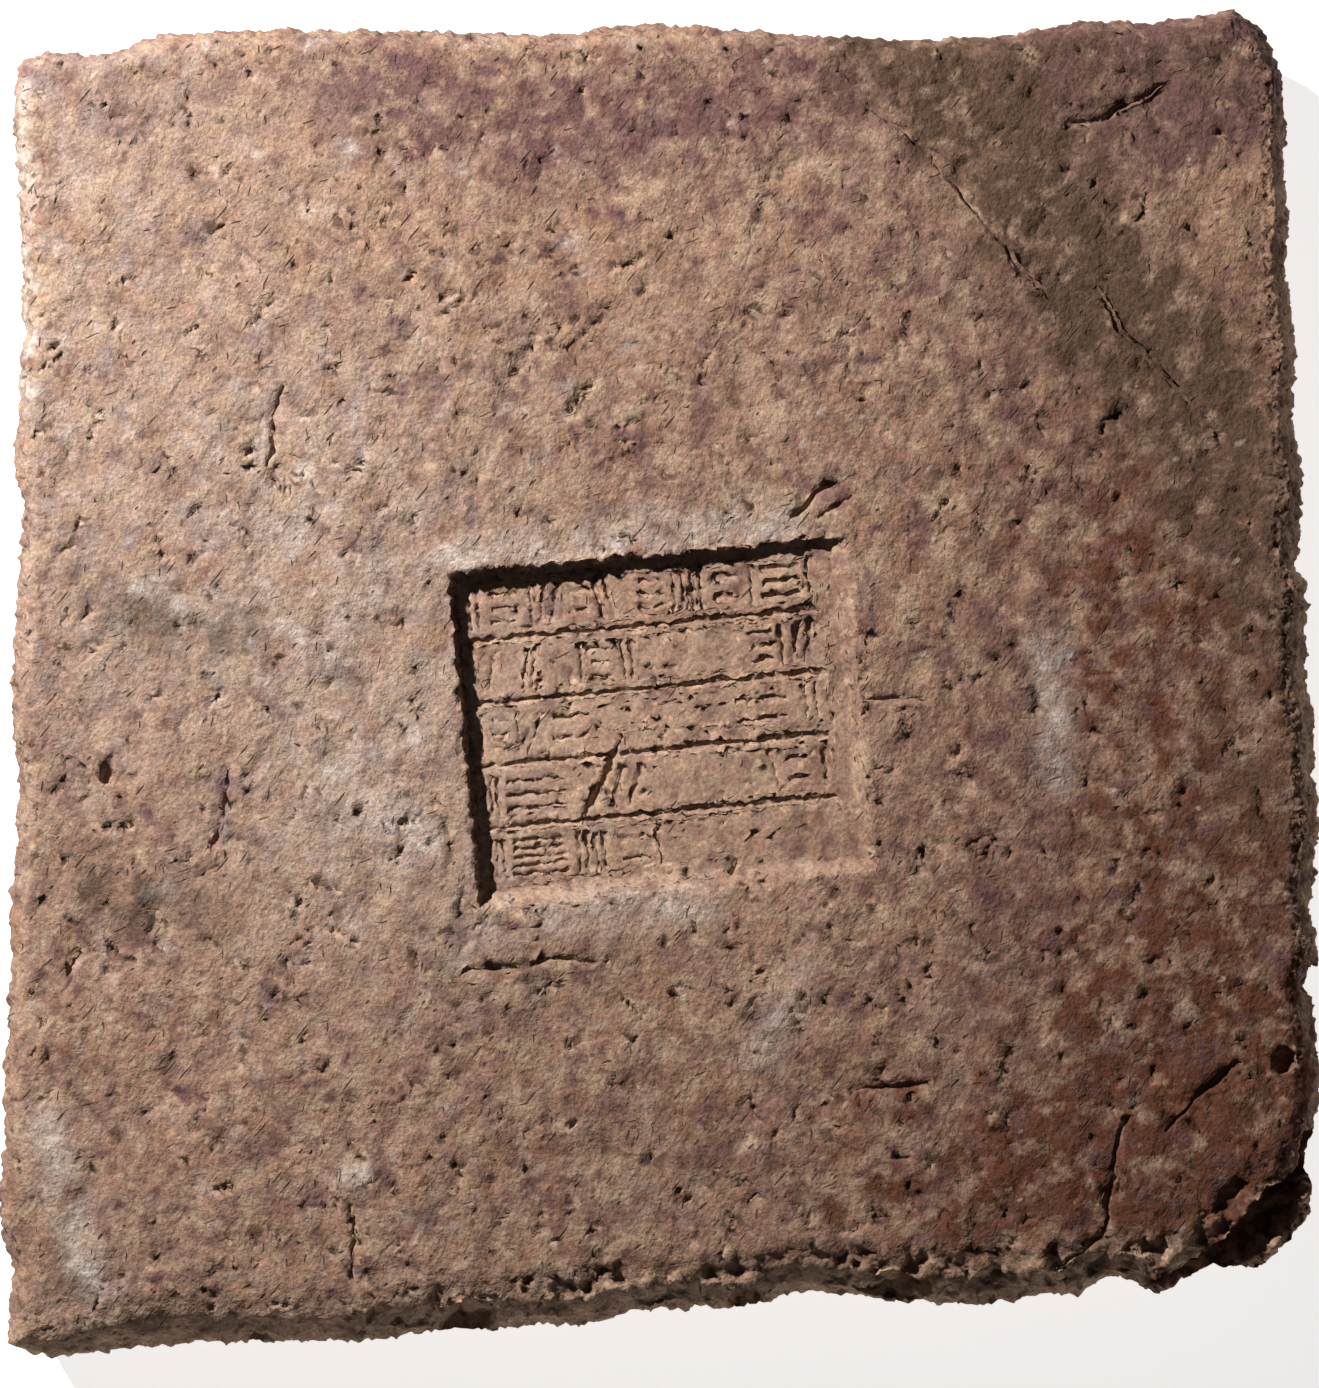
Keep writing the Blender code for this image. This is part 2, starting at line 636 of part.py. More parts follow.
def main():
    clear_scene()
    brick = make_slab()
    brick.data.materials.append(clay_material())
    for cutter in (stamp_cutter(), ruling_cutter(), corner_cutter()):
        cut(brick, cutter)
    cut(brick, stroke_cutter(), crossing=True)
    for cutter in (*crack_cutters(), *chip_cutters()):
        cut(brick, cutter)


main()
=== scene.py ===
"""The clay surface of a square stamped brick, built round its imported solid, with its floor, light and
camera. Metres, +Z up: the brick lies on z = 0 with its stamped face up."""

import json
import math

import bpy
import numpy as np
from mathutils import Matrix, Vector

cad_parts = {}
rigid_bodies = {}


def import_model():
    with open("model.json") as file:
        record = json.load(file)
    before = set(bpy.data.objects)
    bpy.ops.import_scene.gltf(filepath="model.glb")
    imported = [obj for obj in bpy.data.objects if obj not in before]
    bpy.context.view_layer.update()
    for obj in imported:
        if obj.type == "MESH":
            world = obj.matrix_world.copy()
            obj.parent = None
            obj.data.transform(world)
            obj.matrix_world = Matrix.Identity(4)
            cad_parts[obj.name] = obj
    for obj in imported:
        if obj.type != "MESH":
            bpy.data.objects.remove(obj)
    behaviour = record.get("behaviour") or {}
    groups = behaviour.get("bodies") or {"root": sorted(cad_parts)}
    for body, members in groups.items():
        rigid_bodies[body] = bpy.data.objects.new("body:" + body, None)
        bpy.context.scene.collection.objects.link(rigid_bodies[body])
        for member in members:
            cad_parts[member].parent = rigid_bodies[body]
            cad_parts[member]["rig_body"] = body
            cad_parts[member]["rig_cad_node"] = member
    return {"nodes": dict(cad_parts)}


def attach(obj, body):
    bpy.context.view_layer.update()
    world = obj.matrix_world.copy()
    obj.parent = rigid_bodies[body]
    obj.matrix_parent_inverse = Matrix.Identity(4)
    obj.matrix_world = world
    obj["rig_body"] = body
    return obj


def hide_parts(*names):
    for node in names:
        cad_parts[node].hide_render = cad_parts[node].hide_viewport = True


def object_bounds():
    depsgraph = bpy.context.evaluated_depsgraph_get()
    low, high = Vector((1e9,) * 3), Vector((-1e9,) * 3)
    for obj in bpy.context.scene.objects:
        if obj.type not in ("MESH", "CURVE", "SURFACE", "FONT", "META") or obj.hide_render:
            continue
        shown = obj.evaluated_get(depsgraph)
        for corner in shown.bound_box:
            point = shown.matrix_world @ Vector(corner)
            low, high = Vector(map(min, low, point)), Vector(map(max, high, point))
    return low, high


bl_info = {
    "name": "Stamped clay brick",
    "version": (1, 0, 0),
    "blender": (4, 5, 0),
    "location": "3D View > Sidebar > Clay brick",
    "description": "Weathers the solid of a stamped brick and sets it on a pale floor",
    "category": "Object",
}

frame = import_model()
CAD_LOW, CAD_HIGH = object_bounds()
CAD_BRICK = "brick"
SURFACE = "brick_surface"

# The relief maps: heights over the face or along the sides, on a square grid.
MAP_STEP = 0.00025
MAP_MARGIN = 0.004
SEED = 20417

# Finer parts of the relief of the face.
MARK_STRAY = 0.00034
FLAKE_DEPTH = 0.00011
FLAKE_RISE = 0.00008
DRAG_HEIGHT = 0.00005
SCARP_DEPTH = 0.0010
COMB_HEIGHT = 0.00026
RIGHT_RISE = 0.0026

# The sides and the underside: their pits and torn patches, how far they may pass the solid, and the
# longest edges of their mesh.
SIDE_PIT_DEPTH = 0.0006
SIDE_TEAR_DEPTH = 0.0004
OUTLINE_ROOM = 0.0012
SIDE_TOP = CAD_HIGH.z * 0.66
SIDE_EDGE = 0.0030
UNDERSIDE_TOP = 0.0003
UNDERSIDE_EDGE = 0.0090

# Slits painted on the clay in layers: turn in degrees, cells in a metre, size, share of the cells that
# hold one, and stretch. The specks of lime are one more such layer.
SLIT_LAYERS = (
    (52, 300.0, 0.075, 0.36, 7.5),
    (86, 330.0, 0.070, 0.30, 6.0),
    (18, 340.0, 0.070, 0.22, 7.0),
    (44, 480.0, 0.170, 0.06, 2.2),
)
SPECK_LAYER = (30, 210.0, 0.14, 0.035, 1.6)
SPECK_STRENGTH = 0.45
# How far the slits and the hollows are darkened towards the dirt colour: painted shade, partly dirt.
SLIT_SHADE_AND_DIRT = 0.74
HOLLOW_SHADE_AND_DIRT = 0.72

# Heights of the roughness that is finer than the mesh.
GRIT_BUMP = 0.00084
TEAR_BUMP = 0.00060
SLIT_BUMP = 0.00035

# The lights and the camera. The photograph is 1388 pixels high, and its scale holds at the height of
# the worn upper edges.
KEY_PLACE = (-0.523, 0.523, 0.530)
KEY_TARGET = (0.03, -0.03, 0.07)
KEY_CONE = math.radians(72)
KEY_SOFTNESS = 0.014
FILL_PLACE = (0.5, -0.6, 1.8)
FILL_SIZE = 1.6
WARM_WHITE = (1.0, 0.985, 0.97, 1.0)
PHOTO_ROWS = 1388
METRES_PER_PIXEL = 0.0002424
VIEW_LEVEL = 0.061
VIEW_SHIFT = -0.00255
SENSOR = 0.036

# The rim of the face as seen from above, as (place along the side, distance of the edge from the
# middle of the brick) for each side.
RIM = {
    "lower": ((-0.160, 0.1590), (-0.100, 0.1565), (-0.040, 0.1530), (0.000, 0.1490), (0.050, 0.1455),
              (0.098, 0.1440), (0.128, 0.1380), (0.160, 0.1220)),
    "right": ((-0.140, 0.1580), (-0.080, 0.1600), (-0.030, 0.1595), (0.020, 0.1560), (0.070, 0.1530),
              (0.130, 0.1520), (0.160, 0.1480)),
    "upper": ((-0.160, 0.1500), (-0.110, 0.1570), (-0.060, 0.1590), (0.000, 0.1595), (0.055, 0.1555),
              (0.100, 0.1600), (0.145, 0.1635)),
    "left": ((-0.160, 0.1585), (-0.120, 0.1595), (-0.050, 0.1570), (0.000, 0.1560), (0.060, 0.1550),
             (0.150, 0.1550)),
}

# The corners of the stamp, counted against the clock from the lower left.
STAMP_CORNERS = ((-0.0423, -0.0544), (0.0518, -0.0442), (0.0452, 0.0348), (-0.0515, 0.0270))

# Marks left by hand or by wear: name, half width, depth, and the line passed. A negative depth is a
# ridge.
LINE_MARKS = (
    ("fold_slope", 0.0085, 0.0006,
     ((0.0500, 0.1540), (0.0700, 0.1330), (0.0860, 0.1150), (0.1000, 0.0930), (0.1180, 0.0740),
      (0.1380, 0.0500))),
    ("left_crack", 0.0004, 0.0006,
     ((-0.1347, 0.0927), (-0.1308, 0.0852), (-0.1276, 0.0733), (-0.1250, 0.0658))),
    ("left_crack_low", 0.0004, 0.0005, ((-0.1240, 0.0413), (-0.1191, 0.0273))),
    ("upper_scratch", 0.0003, 0.0003, ((-0.0675, 0.1094), (-0.0418, 0.1082))),
    ("right_arc", 0.0004, 0.0005, ((0.1085, 0.0219), (0.1170, 0.0273), (0.1213, 0.0353))),
    ("right_tick", 0.0005, 0.0007, ((0.0699, 0.0210), (0.0711, 0.0113))),
    ("left_lip", 0.0007, 0.0010, ((-0.1385, -0.0348), (-0.1310, -0.0352), (-0.1245, -0.0326))),
    ("left_branch", 0.0004, 0.0006, ((-0.1063, -0.0358), (-0.1109, -0.0420))),
    ("middle_left_ticks", 0.0005, 0.0008, ((-0.0665, -0.0363), (-0.0554, -0.0307))),
    ("middle_left_slit", 0.0004, 0.0006, ((-0.0913, -0.0358), (-0.0852, -0.0273))),
    ("low_left_crack", 0.0003, 0.0005, ((-0.0687, -0.0959), (-0.0697, -0.1131))),
    ("low_left_crack_end", 0.0003, 0.0005, ((-0.0745, -0.1254), (-0.0745, -0.1446))),
    ("right_low_line", 0.0003, 0.0005, ((0.0934, -0.0658), (0.1094, -0.0658))),
    ("below_stamp_tick", 0.0004, 0.0007, ((0.0222, -0.0627), (0.0236, -0.0862))),
    ("below_stamp_tick_right", 0.0004, 0.0006, ((0.0656, -0.0583), (0.0661, -0.0733))),
    ("right_notch_crack", 0.0005, 0.0009, ((0.1480, 0.0335), (0.1552, 0.0340))),
    ("stamp_top_crack", 0.0005, 0.0007, ((-0.0263, 0.0552), (-0.0183, 0.0588))),
    ("stamp_top_crack_right", 0.0005, 0.0007, ((-0.0184, 0.0703), (-0.0156, 0.0727))),
    ("upper_left_tick", 0.0005, 0.0007, ((-0.1354, 0.1157), (-0.1354, 0.1116))),
    ("upper_tick", 0.0005, 0.0007, ((-0.0445, 0.1286), (-0.0413, 0.1325))),
    ("left_edge_tick", 0.0005, 0.0008, ((-0.1470, -0.0273), (-0.1422, -0.0212))),
    ("upper_right_slit", 0.0005, 0.0009, ((0.1279, 0.1259), (0.1269, 0.1228))),
    ("left_dip", 0.0042, 0.0008, ((-0.1320, 0.0165), (-0.1170, 0.0115), (-0.1010, 0.0120))),
    ("ledge_ridge", 0.0040, -0.0062,
     ((0.1588, -0.1170), (0.1555, -0.1262), (0.1500, -0.1345), (0.1415, -0.1405))),
    ("ledge_ridge_low", 0.0030, -0.0045, ((0.1290, -0.1452), (0.1215, -0.1450), (0.1140, -0.1465))),
)

# Round marks: name, middle, radius and depth. A negative depth is a mound.
ROUND_MARKS = (
    ("upper_hole", (-0.0883, 0.1010), 0.0008, 0.0010),
    ("corner_hole", (-0.0983, 0.1470), 0.0008, 0.0010),
    ("upper_ring", (-0.0076, 0.1184), 0.0016, 0.0006),
    ("low_right_hole", (0.0603, -0.1216), 0.0009, 0.0013),
    ("low_mound", (-0.0700, -0.1397), 0.0032, -0.0012),
    ("right_mound", (0.0710, -0.1317), 0.0062, -0.0012),
    ("upper_dent", (0.0290, 0.1240), 0.0050, 0.0006),
    ("lime_spot", (-0.0733, -0.1182), 0.0030, -0.0004),
    ("ledge_lump", (0.1548, -0.1232), 0.0042, -0.0026),
    ("ledge_lump_middle", (0.1490, -0.1372), 0.0036, -0.0024),
    ("ledge_lump_low", (0.1405, -0.1450), 0.0034, -0.0030),
)

# Soft stains over the face, among them painted light and painted shade: each is a line passed, its half
# width and its strength.
STAINS = {
    # Darker along the fold across the upper right corner, in the dip at the left, by the lower left
    # corner and in patches.
    "dark_tone": (
        (0.0135, 1.85, ((0.0600, 0.1560), (0.0780, 0.1380), (0.0900, 0.1200), (0.1030, 0.0980),
                        (0.1230, 0.0760), (0.1400, 0.0490), (0.1530, 0.0300))),
        (0.0065, 0.95, ((-0.1330, 0.0170), (-0.1020, 0.0120))),
        (0.0080, 0.60, ((-0.1350, -0.0480), (-0.1150, -0.0560))),
        (0.0060, 0.60, ((-0.1400, -0.1450), (-0.1300, -0.1560))),
        (0.0110, 0.40, ((0.1350, 0.0560), (0.1450, 0.0180), (0.1420, -0.0300))),
        (0.0050, 0.30, ((-0.0480, -0.0700), (-0.0100, -0.0670))),
        (0.0130, 0.48, ((0.0960, 0.1480), (0.1180, 0.1440), (0.1330, 0.1500))),
    ),
    "plum": (
        (0.0130, 0.95, ((-0.0700, 0.1440), (-0.0300, 0.1330), (0.0100, 0.1380), (0.0450, 0.1450))),
        (0.0150, 2.60, ((0.0960, 0.1480), (0.1180, 0.1440), (0.1330, 0.1500))),
        (0.0140, 0.50, ((-0.1500, 0.1480), (-0.1250, 0.1400))),
        (0.0140, 0.35, ((0.0500, 0.1150), (0.0860, 0.0820), (0.0950, 0.0500))),
        (0.0120, 0.35, ((0.0850, 0.0100), (0.0900, -0.0400), (0.0800, -0.0800))),
    ),
    "lime": (
        (0.0060, 0.80, ((-0.1560, 0.1400), (-0.1570, 0.1100), (-0.1560, 0.0700))),
        (0.0450, 0.20, ((-0.1400, 0.1300), (-0.1350, 0.0200))),
        (0.0350, 0.32, ((-0.0900, 0.0500), (-0.0700, -0.0250))),
        (0.0024, 2.20, ((-0.0734, -0.1182), (-0.0731, -0.1182))),
        (0.0050, 0.55, ((-0.0540, 0.0300), (-0.0200, 0.0330), (0.0150, 0.0380), (0.0300, 0.0360))),
        (0.0070, 0.60, ((-0.0780, -0.0220), (-0.0560, -0.0380))),
        (0.0050, 0.55, ((-0.1240, 0.0230), (-0.1080, 0.0200))),
        (0.0040, 0.50, ((0.0930, 0.0100), (0.0960, -0.0220))),
        (0.0050, 0.40, ((-0.0420, -0.0570), (0.0100, -0.0520))),
        (0.0040, 0.40, ((0.0330, -0.0700), (0.0240, -0.0900))),
        (0.0045, 0.55, ((-0.1500, -0.1050), (-0.1350, -0.1500))),
    ),
    # Partly painted shade: the face is painted darker and redder towards the right side and the lower
    # right corner, away from the light, over the clay's own dark patches.
    "umber_and_shade": (
        (0.0500, 0.70, ((0.1250, 0.0350), (0.1250, -0.0200))),
        (0.0500, 0.88, ((0.1350, -0.0450), (0.1300, -0.0900))),
        (0.0400, 1.90, ((0.1450, -0.1100), (0.1050, -0.1400))),
        (0.0350, 0.50, ((0.0500, -0.1150), (0.0900, -0.1350))),
        (0.0260, 0.30, ((-0.0200, -0.1050), (0.0400, -0.1050))),
        (0.0200, 0.35, ((0.0900, 0.0850), (0.1100, 0.0500))),
    ),
    # Painted light, partly the crumbled clay's paler colour: the lower broken edge, the right rim, the
    # ledge at the lower right corner and the stamp's floor are painted paler, standing in for light
    # that their slopes and hollows don't catch.
    "crumb_and_painted_light": (
        (0.0060, 0.80, ((-0.1560, -0.1600), (-0.1000, -0.1580), (-0.0400, -0.1540), (0.0000, -0.1500),
                        (0.0500, -0.1460), (0.0980, -0.1440), (0.1280, -0.1400))),
        (0.0050, 0.45, ((0.1300, -0.1470), (0.1450, -0.1400), (0.1560, -0.1250))),
        (0.0040, 0.55, ((0.1530, 0.1300), (0.1540, 0.0600), (0.1570, 0.0000), (0.1580, -0.0600))),
        (0.0300, 0.34, ((-0.0150, -0.0130), (0.0150, -0.0090))),
    ),
    "tan": (
        (0.0140, 0.90, ((0.1370, 0.1380), (0.1400, 0.1150), (0.1440, 0.0800))),
        (0.0130, 0.45, ((-0.1300, 0.1150), (-0.0700, 0.1100), (0.0000, 0.1050))),
    ),
}

# How strong the patches of each stain are that lie anywhere on the face, and where they begin.
PATCHES = {
    "dark_tone": (0.35, 1.0),
    "plum": (0.70, 0.35),
    "lime": (0.30, 0.90),
    "umber_and_shade": (0.34, 0.45),
    "tan": (0.80, 0.10),
    "crumb_and_painted_light": (0.0, 1.0),
}

# The stains in the order that they lie on the clay, the lowest first.
STAIN_ORDER = ("tan", "umber_and_shade", "plum", "dark_tone", "lime", "crumb_and_painted_light")


class ClaySettings(bpy.types.PropertyGroup):
    """The colours of the clay and of what lies on it, and of the painted light and painted shade laid
    over it.
    """

    clay: bpy.props.FloatVectorProperty(
        name="Clay", description="Colour of the bare clay",
        subtype="COLOR", size=3, min=0, max=1, default=(0.425, 0.262, 0.190))
    ruddy: bpy.props.FloatVectorProperty(
        name="Ruddy clay", description="Colour of the redder patches of the clay",
        subtype="COLOR", size=3, min=0, max=1, default=(0.375, 0.208, 0.142))
    sandy: bpy.props.FloatVectorProperty(
        name="Sandy clay", description="Colour of the paler, yellower patches of the clay",
        subtype="COLOR", size=3, min=0, max=1, default=(0.500, 0.345, 0.225))
    tan: bpy.props.FloatVectorProperty(
        name="Tan", description="Colour of the tan patch by the upper right corner",
        subtype="COLOR", size=3, min=0, max=1, default=(0.420, 0.245, 0.155))
    # Painted light, partly the crumbled clay's own colour: this pale colour brightens the broken edges,
    # the ledge and the stamp's floor.
    crumb_and_painted_light: bpy.props.FloatVectorProperty(
        name="Crumb", description="Colour of the crumbled clay along the broken edges",
        subtype="COLOR", size=3, min=0, max=1, default=(0.600, 0.390, 0.265))
    # Partly painted shade: this dark colour darkens the face towards the right side and the lower right
    # corner, besides the clay's own dark patches.
    umber_and_shade: bpy.props.FloatVectorProperty(
        name="Umber", description="Colour of the dark clay along the right side",
        subtype="COLOR", size=3, min=0, max=1, default=(0.148, 0.055, 0.029))
    plum: bpy.props.FloatVectorProperty(
        name="Plum", description="Colour of the purplish film",
        subtype="COLOR", size=3, min=0, max=1, default=(0.182, 0.090, 0.080))
    # The darker colour along the fold across the upper right corner and in the dip at the left.
    dark_tone: bpy.props.FloatVectorProperty(
        name="Soot", description="Colour of the dark band across the upper right corner",
        subtype="COLOR", size=3, min=0, max=1, default=(0.130, 0.074, 0.047))
    lime: bpy.props.FloatVectorProperty(
        name="Lime", description="Colour of the lime and salt that lie on the clay",
        subtype="COLOR", size=3, min=0, max=1, default=(0.630, 0.510, 0.435))
    # Painted shade, partly dirt: this near-black colour darkens the slits and the hollows and stands in
    # for their shadows.
    dirt_and_shade: bpy.props.FloatVectorProperty(
        name="Dirt", description="Colour of the dirt in cracks and slits",
        subtype="COLOR", size=3, min=0, max=1, default=(0.075, 0.043, 0.030))
    roughness: bpy.props.FloatProperty(
        name="Roughness", description="Roughness of the dry clay",
        subtype="FACTOR", min=0, max=1, default=0.93)


class ReliefSettings(bpy.types.PropertyGroup):
    """How coarse the surface of the brick is."""

    coarse: bpy.props.FloatProperty(
        name="Coarse edge", description="Longest edge of the mesh on the plain face",
        subtype="DISTANCE", unit="LENGTH", default=0.0020)
    fine: bpy.props.FloatProperty(
        name="Fine edge", description="Longest edge of the mesh along slits and cracks",
        subtype="DISTANCE", unit="LENGTH", default=0.00048)
    busy: bpy.props.FloatProperty(
        name="Busy share", description="Share of the face where the mesh is fine",
        subtype="FACTOR", min=0, max=1, default=0.08)
    passes: bpy.props.IntProperty(
        name="Passes", description="How often the mesh is split at most", default=9)
    triangles: bpy.props.IntProperty(
        name="Triangles", description="Number of triangles that the finished piece keeps",
        default=196000)
    lump: bpy.props.FloatProperty(
        name="Lump height", description="Height of the broad lumps of the clay",
        subtype="DISTANCE", unit="LENGTH", default=0.00022)
    grain: bpy.props.FloatProperty(
        name="Grain height", description="Height of the fine roughness of the clay",
        subtype="DISTANCE", unit="LENGTH", default=0.00002)
    wander: bpy.props.FloatProperty(
        name="Wander", description="How far the lines cut in the face stray to the side",
        subtype="DISTANCE", unit="LENGTH", default=0.00026)
    calm: bpy.props.FloatProperty(
        name="Calm sides", description="Share of the lumps that the upper and left sides keep",
        subtype="FACTOR", min=0, max=1, default=0.6)
    slits: bpy.props.IntProperty(
        name="Slits", description="Number of slits that chaff has left in the face", default=2300)
    pits: bpy.props.IntProperty(
        name="Pits", description="Number of pits in the face", default=230)
    edge_lump: bpy.props.FloatProperty(
        name="Edge lump height", description="Height of the lumps along the broken lower edge",
        subtype="DISTANCE", unit="LENGTH", default=0.0008)
    edge_fall: bpy.props.FloatProperty(
        name="Edge fall", description="How far the face sinks towards the broken lower edge",
        subtype="DISTANCE", unit="LENGTH", default=0.0005)


class StageSettings(bpy.types.PropertyGroup):
    """The floor, the light and the camera."""

    floor_size: bpy.props.FloatProperty(
        name="Floor size", description="Width of the square floor",
        subtype="DISTANCE", unit="LENGTH", default=9.0)
    floor_glow: bpy.props.FloatProperty(
        name="Floor glow", description="How much light the pale floor gives off", default=0.80)
    key_power: bpy.props.FloatProperty(
        name="Key power", description="Power of the light from the upper left",
        unit="POWER", default=51.0)
    fill_power: bpy.props.FloatProperty(
        name="Fill power", description="Power of the wide soft light above the brick",
        unit="POWER", default=0.7)
    room_glow: bpy.props.FloatProperty(
        name="Room glow", description="How much light comes from all round", default=0.018)
    lens: bpy.props.FloatProperty(
        name="Lens", description="Focal length of the camera, in millimetres", default=180.0)


# Maps of the face and of the sides.


def map_shape():
    """Rows and columns of a map of the face."""
    width = CAD_HIGH.x - CAD_LOW.x + 2 * MAP_MARGIN
    length = CAD_HIGH.y - CAD_LOW.y + 2 * MAP_MARGIN
    return int(length / MAP_STEP) + 1, int(width / MAP_STEP) + 1


def map_places():
    """The x and the y of each point of a map of the face."""
    rows, columns = map_shape()
    x = CAD_LOW.x - MAP_MARGIN + np.arange(columns) * MAP_STEP
    y = CAD_LOW.y - MAP_MARGIN + np.arange(rows) * MAP_STEP
    return np.meshgrid(x, y)


def read_map(heights, x, y):
    """The map's value at places in metres, blended between its points."""
    rows, columns = heights.shape
    across = np.clip((x - CAD_LOW.x + MAP_MARGIN) / MAP_STEP, 0, columns - 1.001)
    up = np.clip((y - CAD_LOW.y + MAP_MARGIN) / MAP_STEP, 0, rows - 1.001)
    column, row = across.astype(int), up.astype(int)
    u, v = across - column, up - row
    low = heights[row, column] * (1 - u) + heights[row, column + 1] * u
    high = heights[row + 1, column] * (1 - u) + heights[row + 1, column + 1] * u
    return low * (1 - v) + high * v


def frequencies(shape, stretch=(1.0, 1.0)):
    """The frequency of each term of a map's spectrum, stretched across or up."""
    up = np.fft.fftfreq(shape[0], MAP_STEP)[:, None] * stretch[1]
    across = np.fft.rfftfreq(shape[1], MAP_STEP)[None, :] * stretch[0]
    return np.hypot(across, up)


def mottle(draw, longest, shortest, slope=1.0, stretch=(1.0, 1.0), shape=None):
    """A map of soft random patches between two sizes, with a mean of 0 and a deviation of 1."""
    shape = shape or map_shape()
    terms = np.fft.rfft2(draw.standard_normal(shape))
    found = frequencies(shape, stretch)
    fall = (found * longest + 1) ** -slope
    band = fall * np.exp(-(found * shortest) ** 2) * (1 - np.exp(-(found * longest) ** 2))
    heights = np.fft.irfft2(terms * band, shape)
    return heights / heights.std()


def soften(heights, reach):
    """The map blurred over a reach in metres."""
    terms = np.fft.rfft2(heights)
    found = frequencies(heights.shape)
    return np.fft.irfft2(terms * np.exp(-2 * (math.pi * found * reach) ** 2), heights.shape)


def ramp(values, low, high):
    """0 below low and 1 above high, eased between."""
    share = np.clip((values - low) / (high - low), 0, 1)
    return share * share * (3 - 2 * share)


def window(x, y, points, reach):
    """The part of the map within reach of some points, as slices, or None outside it."""
    low, high = points.min(0) - reach, points.max(0) + reach
    start = (np.array((low[0], low[1])) - (x[0, 0], y[0, 0])) / MAP_STEP
    stop = (np.array((high[0], high[1])) - (x[0, 0], y[0, 0])) / MAP_STEP
    first = np.maximum(start.astype(int), 0)
    last = np.minimum(stop.astype(int) + 2, (x.shape[1], x.shape[0]))
    if (first >= last).any():
        return None
    return slice(first[1], last[1]), slice(first[0], last[0])


def line_distance(x, y, points):
    """How far each place is from a line, and how far along the line its nearest point is, 0 to 1."""
    nearest = np.full(x.shape, np.inf)
    along = np.zeros(x.shape)
    lengths = np.linalg.norm(np.diff(points, axis=0), axis=1)
    total, passed = lengths.sum(), 0.0
    for start, end, length in zip(points, points[1:], lengths):
        step = (end - start) / length
        share = np.clip((x - start[0]) * step[0] + (y - start[1]) * step[1], 0, length)
        away = np.hypot(x - start[0] - share * step[0], y - start[1] - share * step[1])
        closer = away < nearest
        nearest = np.where(closer, away, nearest)
        along = np.where(closer, (passed + share) / total, along)
        passed += length
    return nearest, along


def cut_line(heights, x, y, points, half_width, depth, wander):
    """A crack, slit or ridge that narrows to its ends, along a line."""
    points = np.array(points, float)
    part = window(x, y, points, half_width * 3)
    if part is None:
        return
    away, along = line_distance(x[part] + wander[0][part], y[part] + wander[1][part], points)
    taper = np.sqrt(np.clip(np.sin(math.pi * np.clip(along, 0.02, 0.98)), 0, 1))
    change = 0.45 * min(1.0, (0.0010 / half_width) ** 2)
    uneven = np.clip(1 + change * wander[2][part], 0.25, 1.6)
    shape = 1 - ramp(away / (half_width * (0.35 + 0.65 * taper) * uneven), 0.15, 1.25)
    heights[part] -= depth * taper * shape * uneven


def cut_round(heights, x, y, middle, radius, depth, wander):
    """A pit or a mound."""
    part = window(x, y, np.array([middle], float), radius * 2)
    if part is None:
        return
    away = np.hypot(x[part] + wander[0][part] - middle[0], y[part] + wander[1][part] - middle[1])
    heights[part] -= depth * (1 - ramp(away / radius, 0.35, 1.3))


# The relief of the face and of the sides.


def rim_distance(side, x, y):
    """How far inside one side's rim a place on the face is."""
    along = x if side in ("lower", "upper") else y
    out = {"lower": -y, "upper": y, "left": -x, "right": x}[side]
    places, edges = zip(*RIM[side])
    return np.interp(along, places, edges) - out


def stamp_distance(x, y):
    """How far inside the stamp a place is: below 0 outside it."""
    corners = np.array(STAMP_CORNERS)
    inside = np.full(np.shape(x), np.inf)
    for start, end in zip(corners, np.roll(corners, -1, axis=0)):
        step = (end - start) / np.linalg.norm(end - start)
        inside = np.minimum(inside, (y - start[1]) * step[0] - (x - start[0]) * step[1])
    return inside


def chaff_slits(heights, x, y, draw, wander, settings):
    """The slits that chopped straw has left, long and narrow and lying every way."""
    count = settings.slits
    across = draw.uniform(CAD_LOW.x, CAD_HIGH.x, count)
    up = draw.uniform(CAD_LOW.y, CAD_HIGH.y, count)
    length = draw.gamma(2.0, 0.0019, count).clip(0.0012, 0.0120)
    angle = draw.normal(math.radians(62), math.radians(48), count)
    width = draw.uniform(0.00020, 0.00048, count)
    depth = draw.uniform(0.00025, 0.00080, count)
    bend = draw.normal(0, 0.10, count)
    for a, b, l, turn, w, d, k in zip(across, up, length, angle, width, depth, bend):
        if stamp_distance(a, b) > -0.001 and d < 0.00066:
            continue
        step = np.array((math.cos(turn), math.sin(turn))) * l / 2
        side = np.array((-step[1], step[0])) * k
        middle = np.array((a, b))
        cut_line(heights, x, y, (middle - step, middle + side, middle + step), w, d, wander)


def pits(heights, x, y, draw, wander, settings):
    """Pits and grains of grit."""
    count = settings.pits
    across = draw.uniform(CAD_LOW.x, CAD_HIGH.x, count)
    up = draw.uniform(CAD_LOW.y, CAD_HIGH.y, count)
    radius = draw.gamma(2.0, 0.00026, count).clip(0.00030, 0.0014)
    depth = draw.uniform(-0.35, 1.0, count) * radius * 0.55
    for a, b, r, d in zip(across, up, radius, depth):
        if stamp_distance(a, b) < -0.001:
            cut_round(heights, x, y, (a, b), r, d, wander)


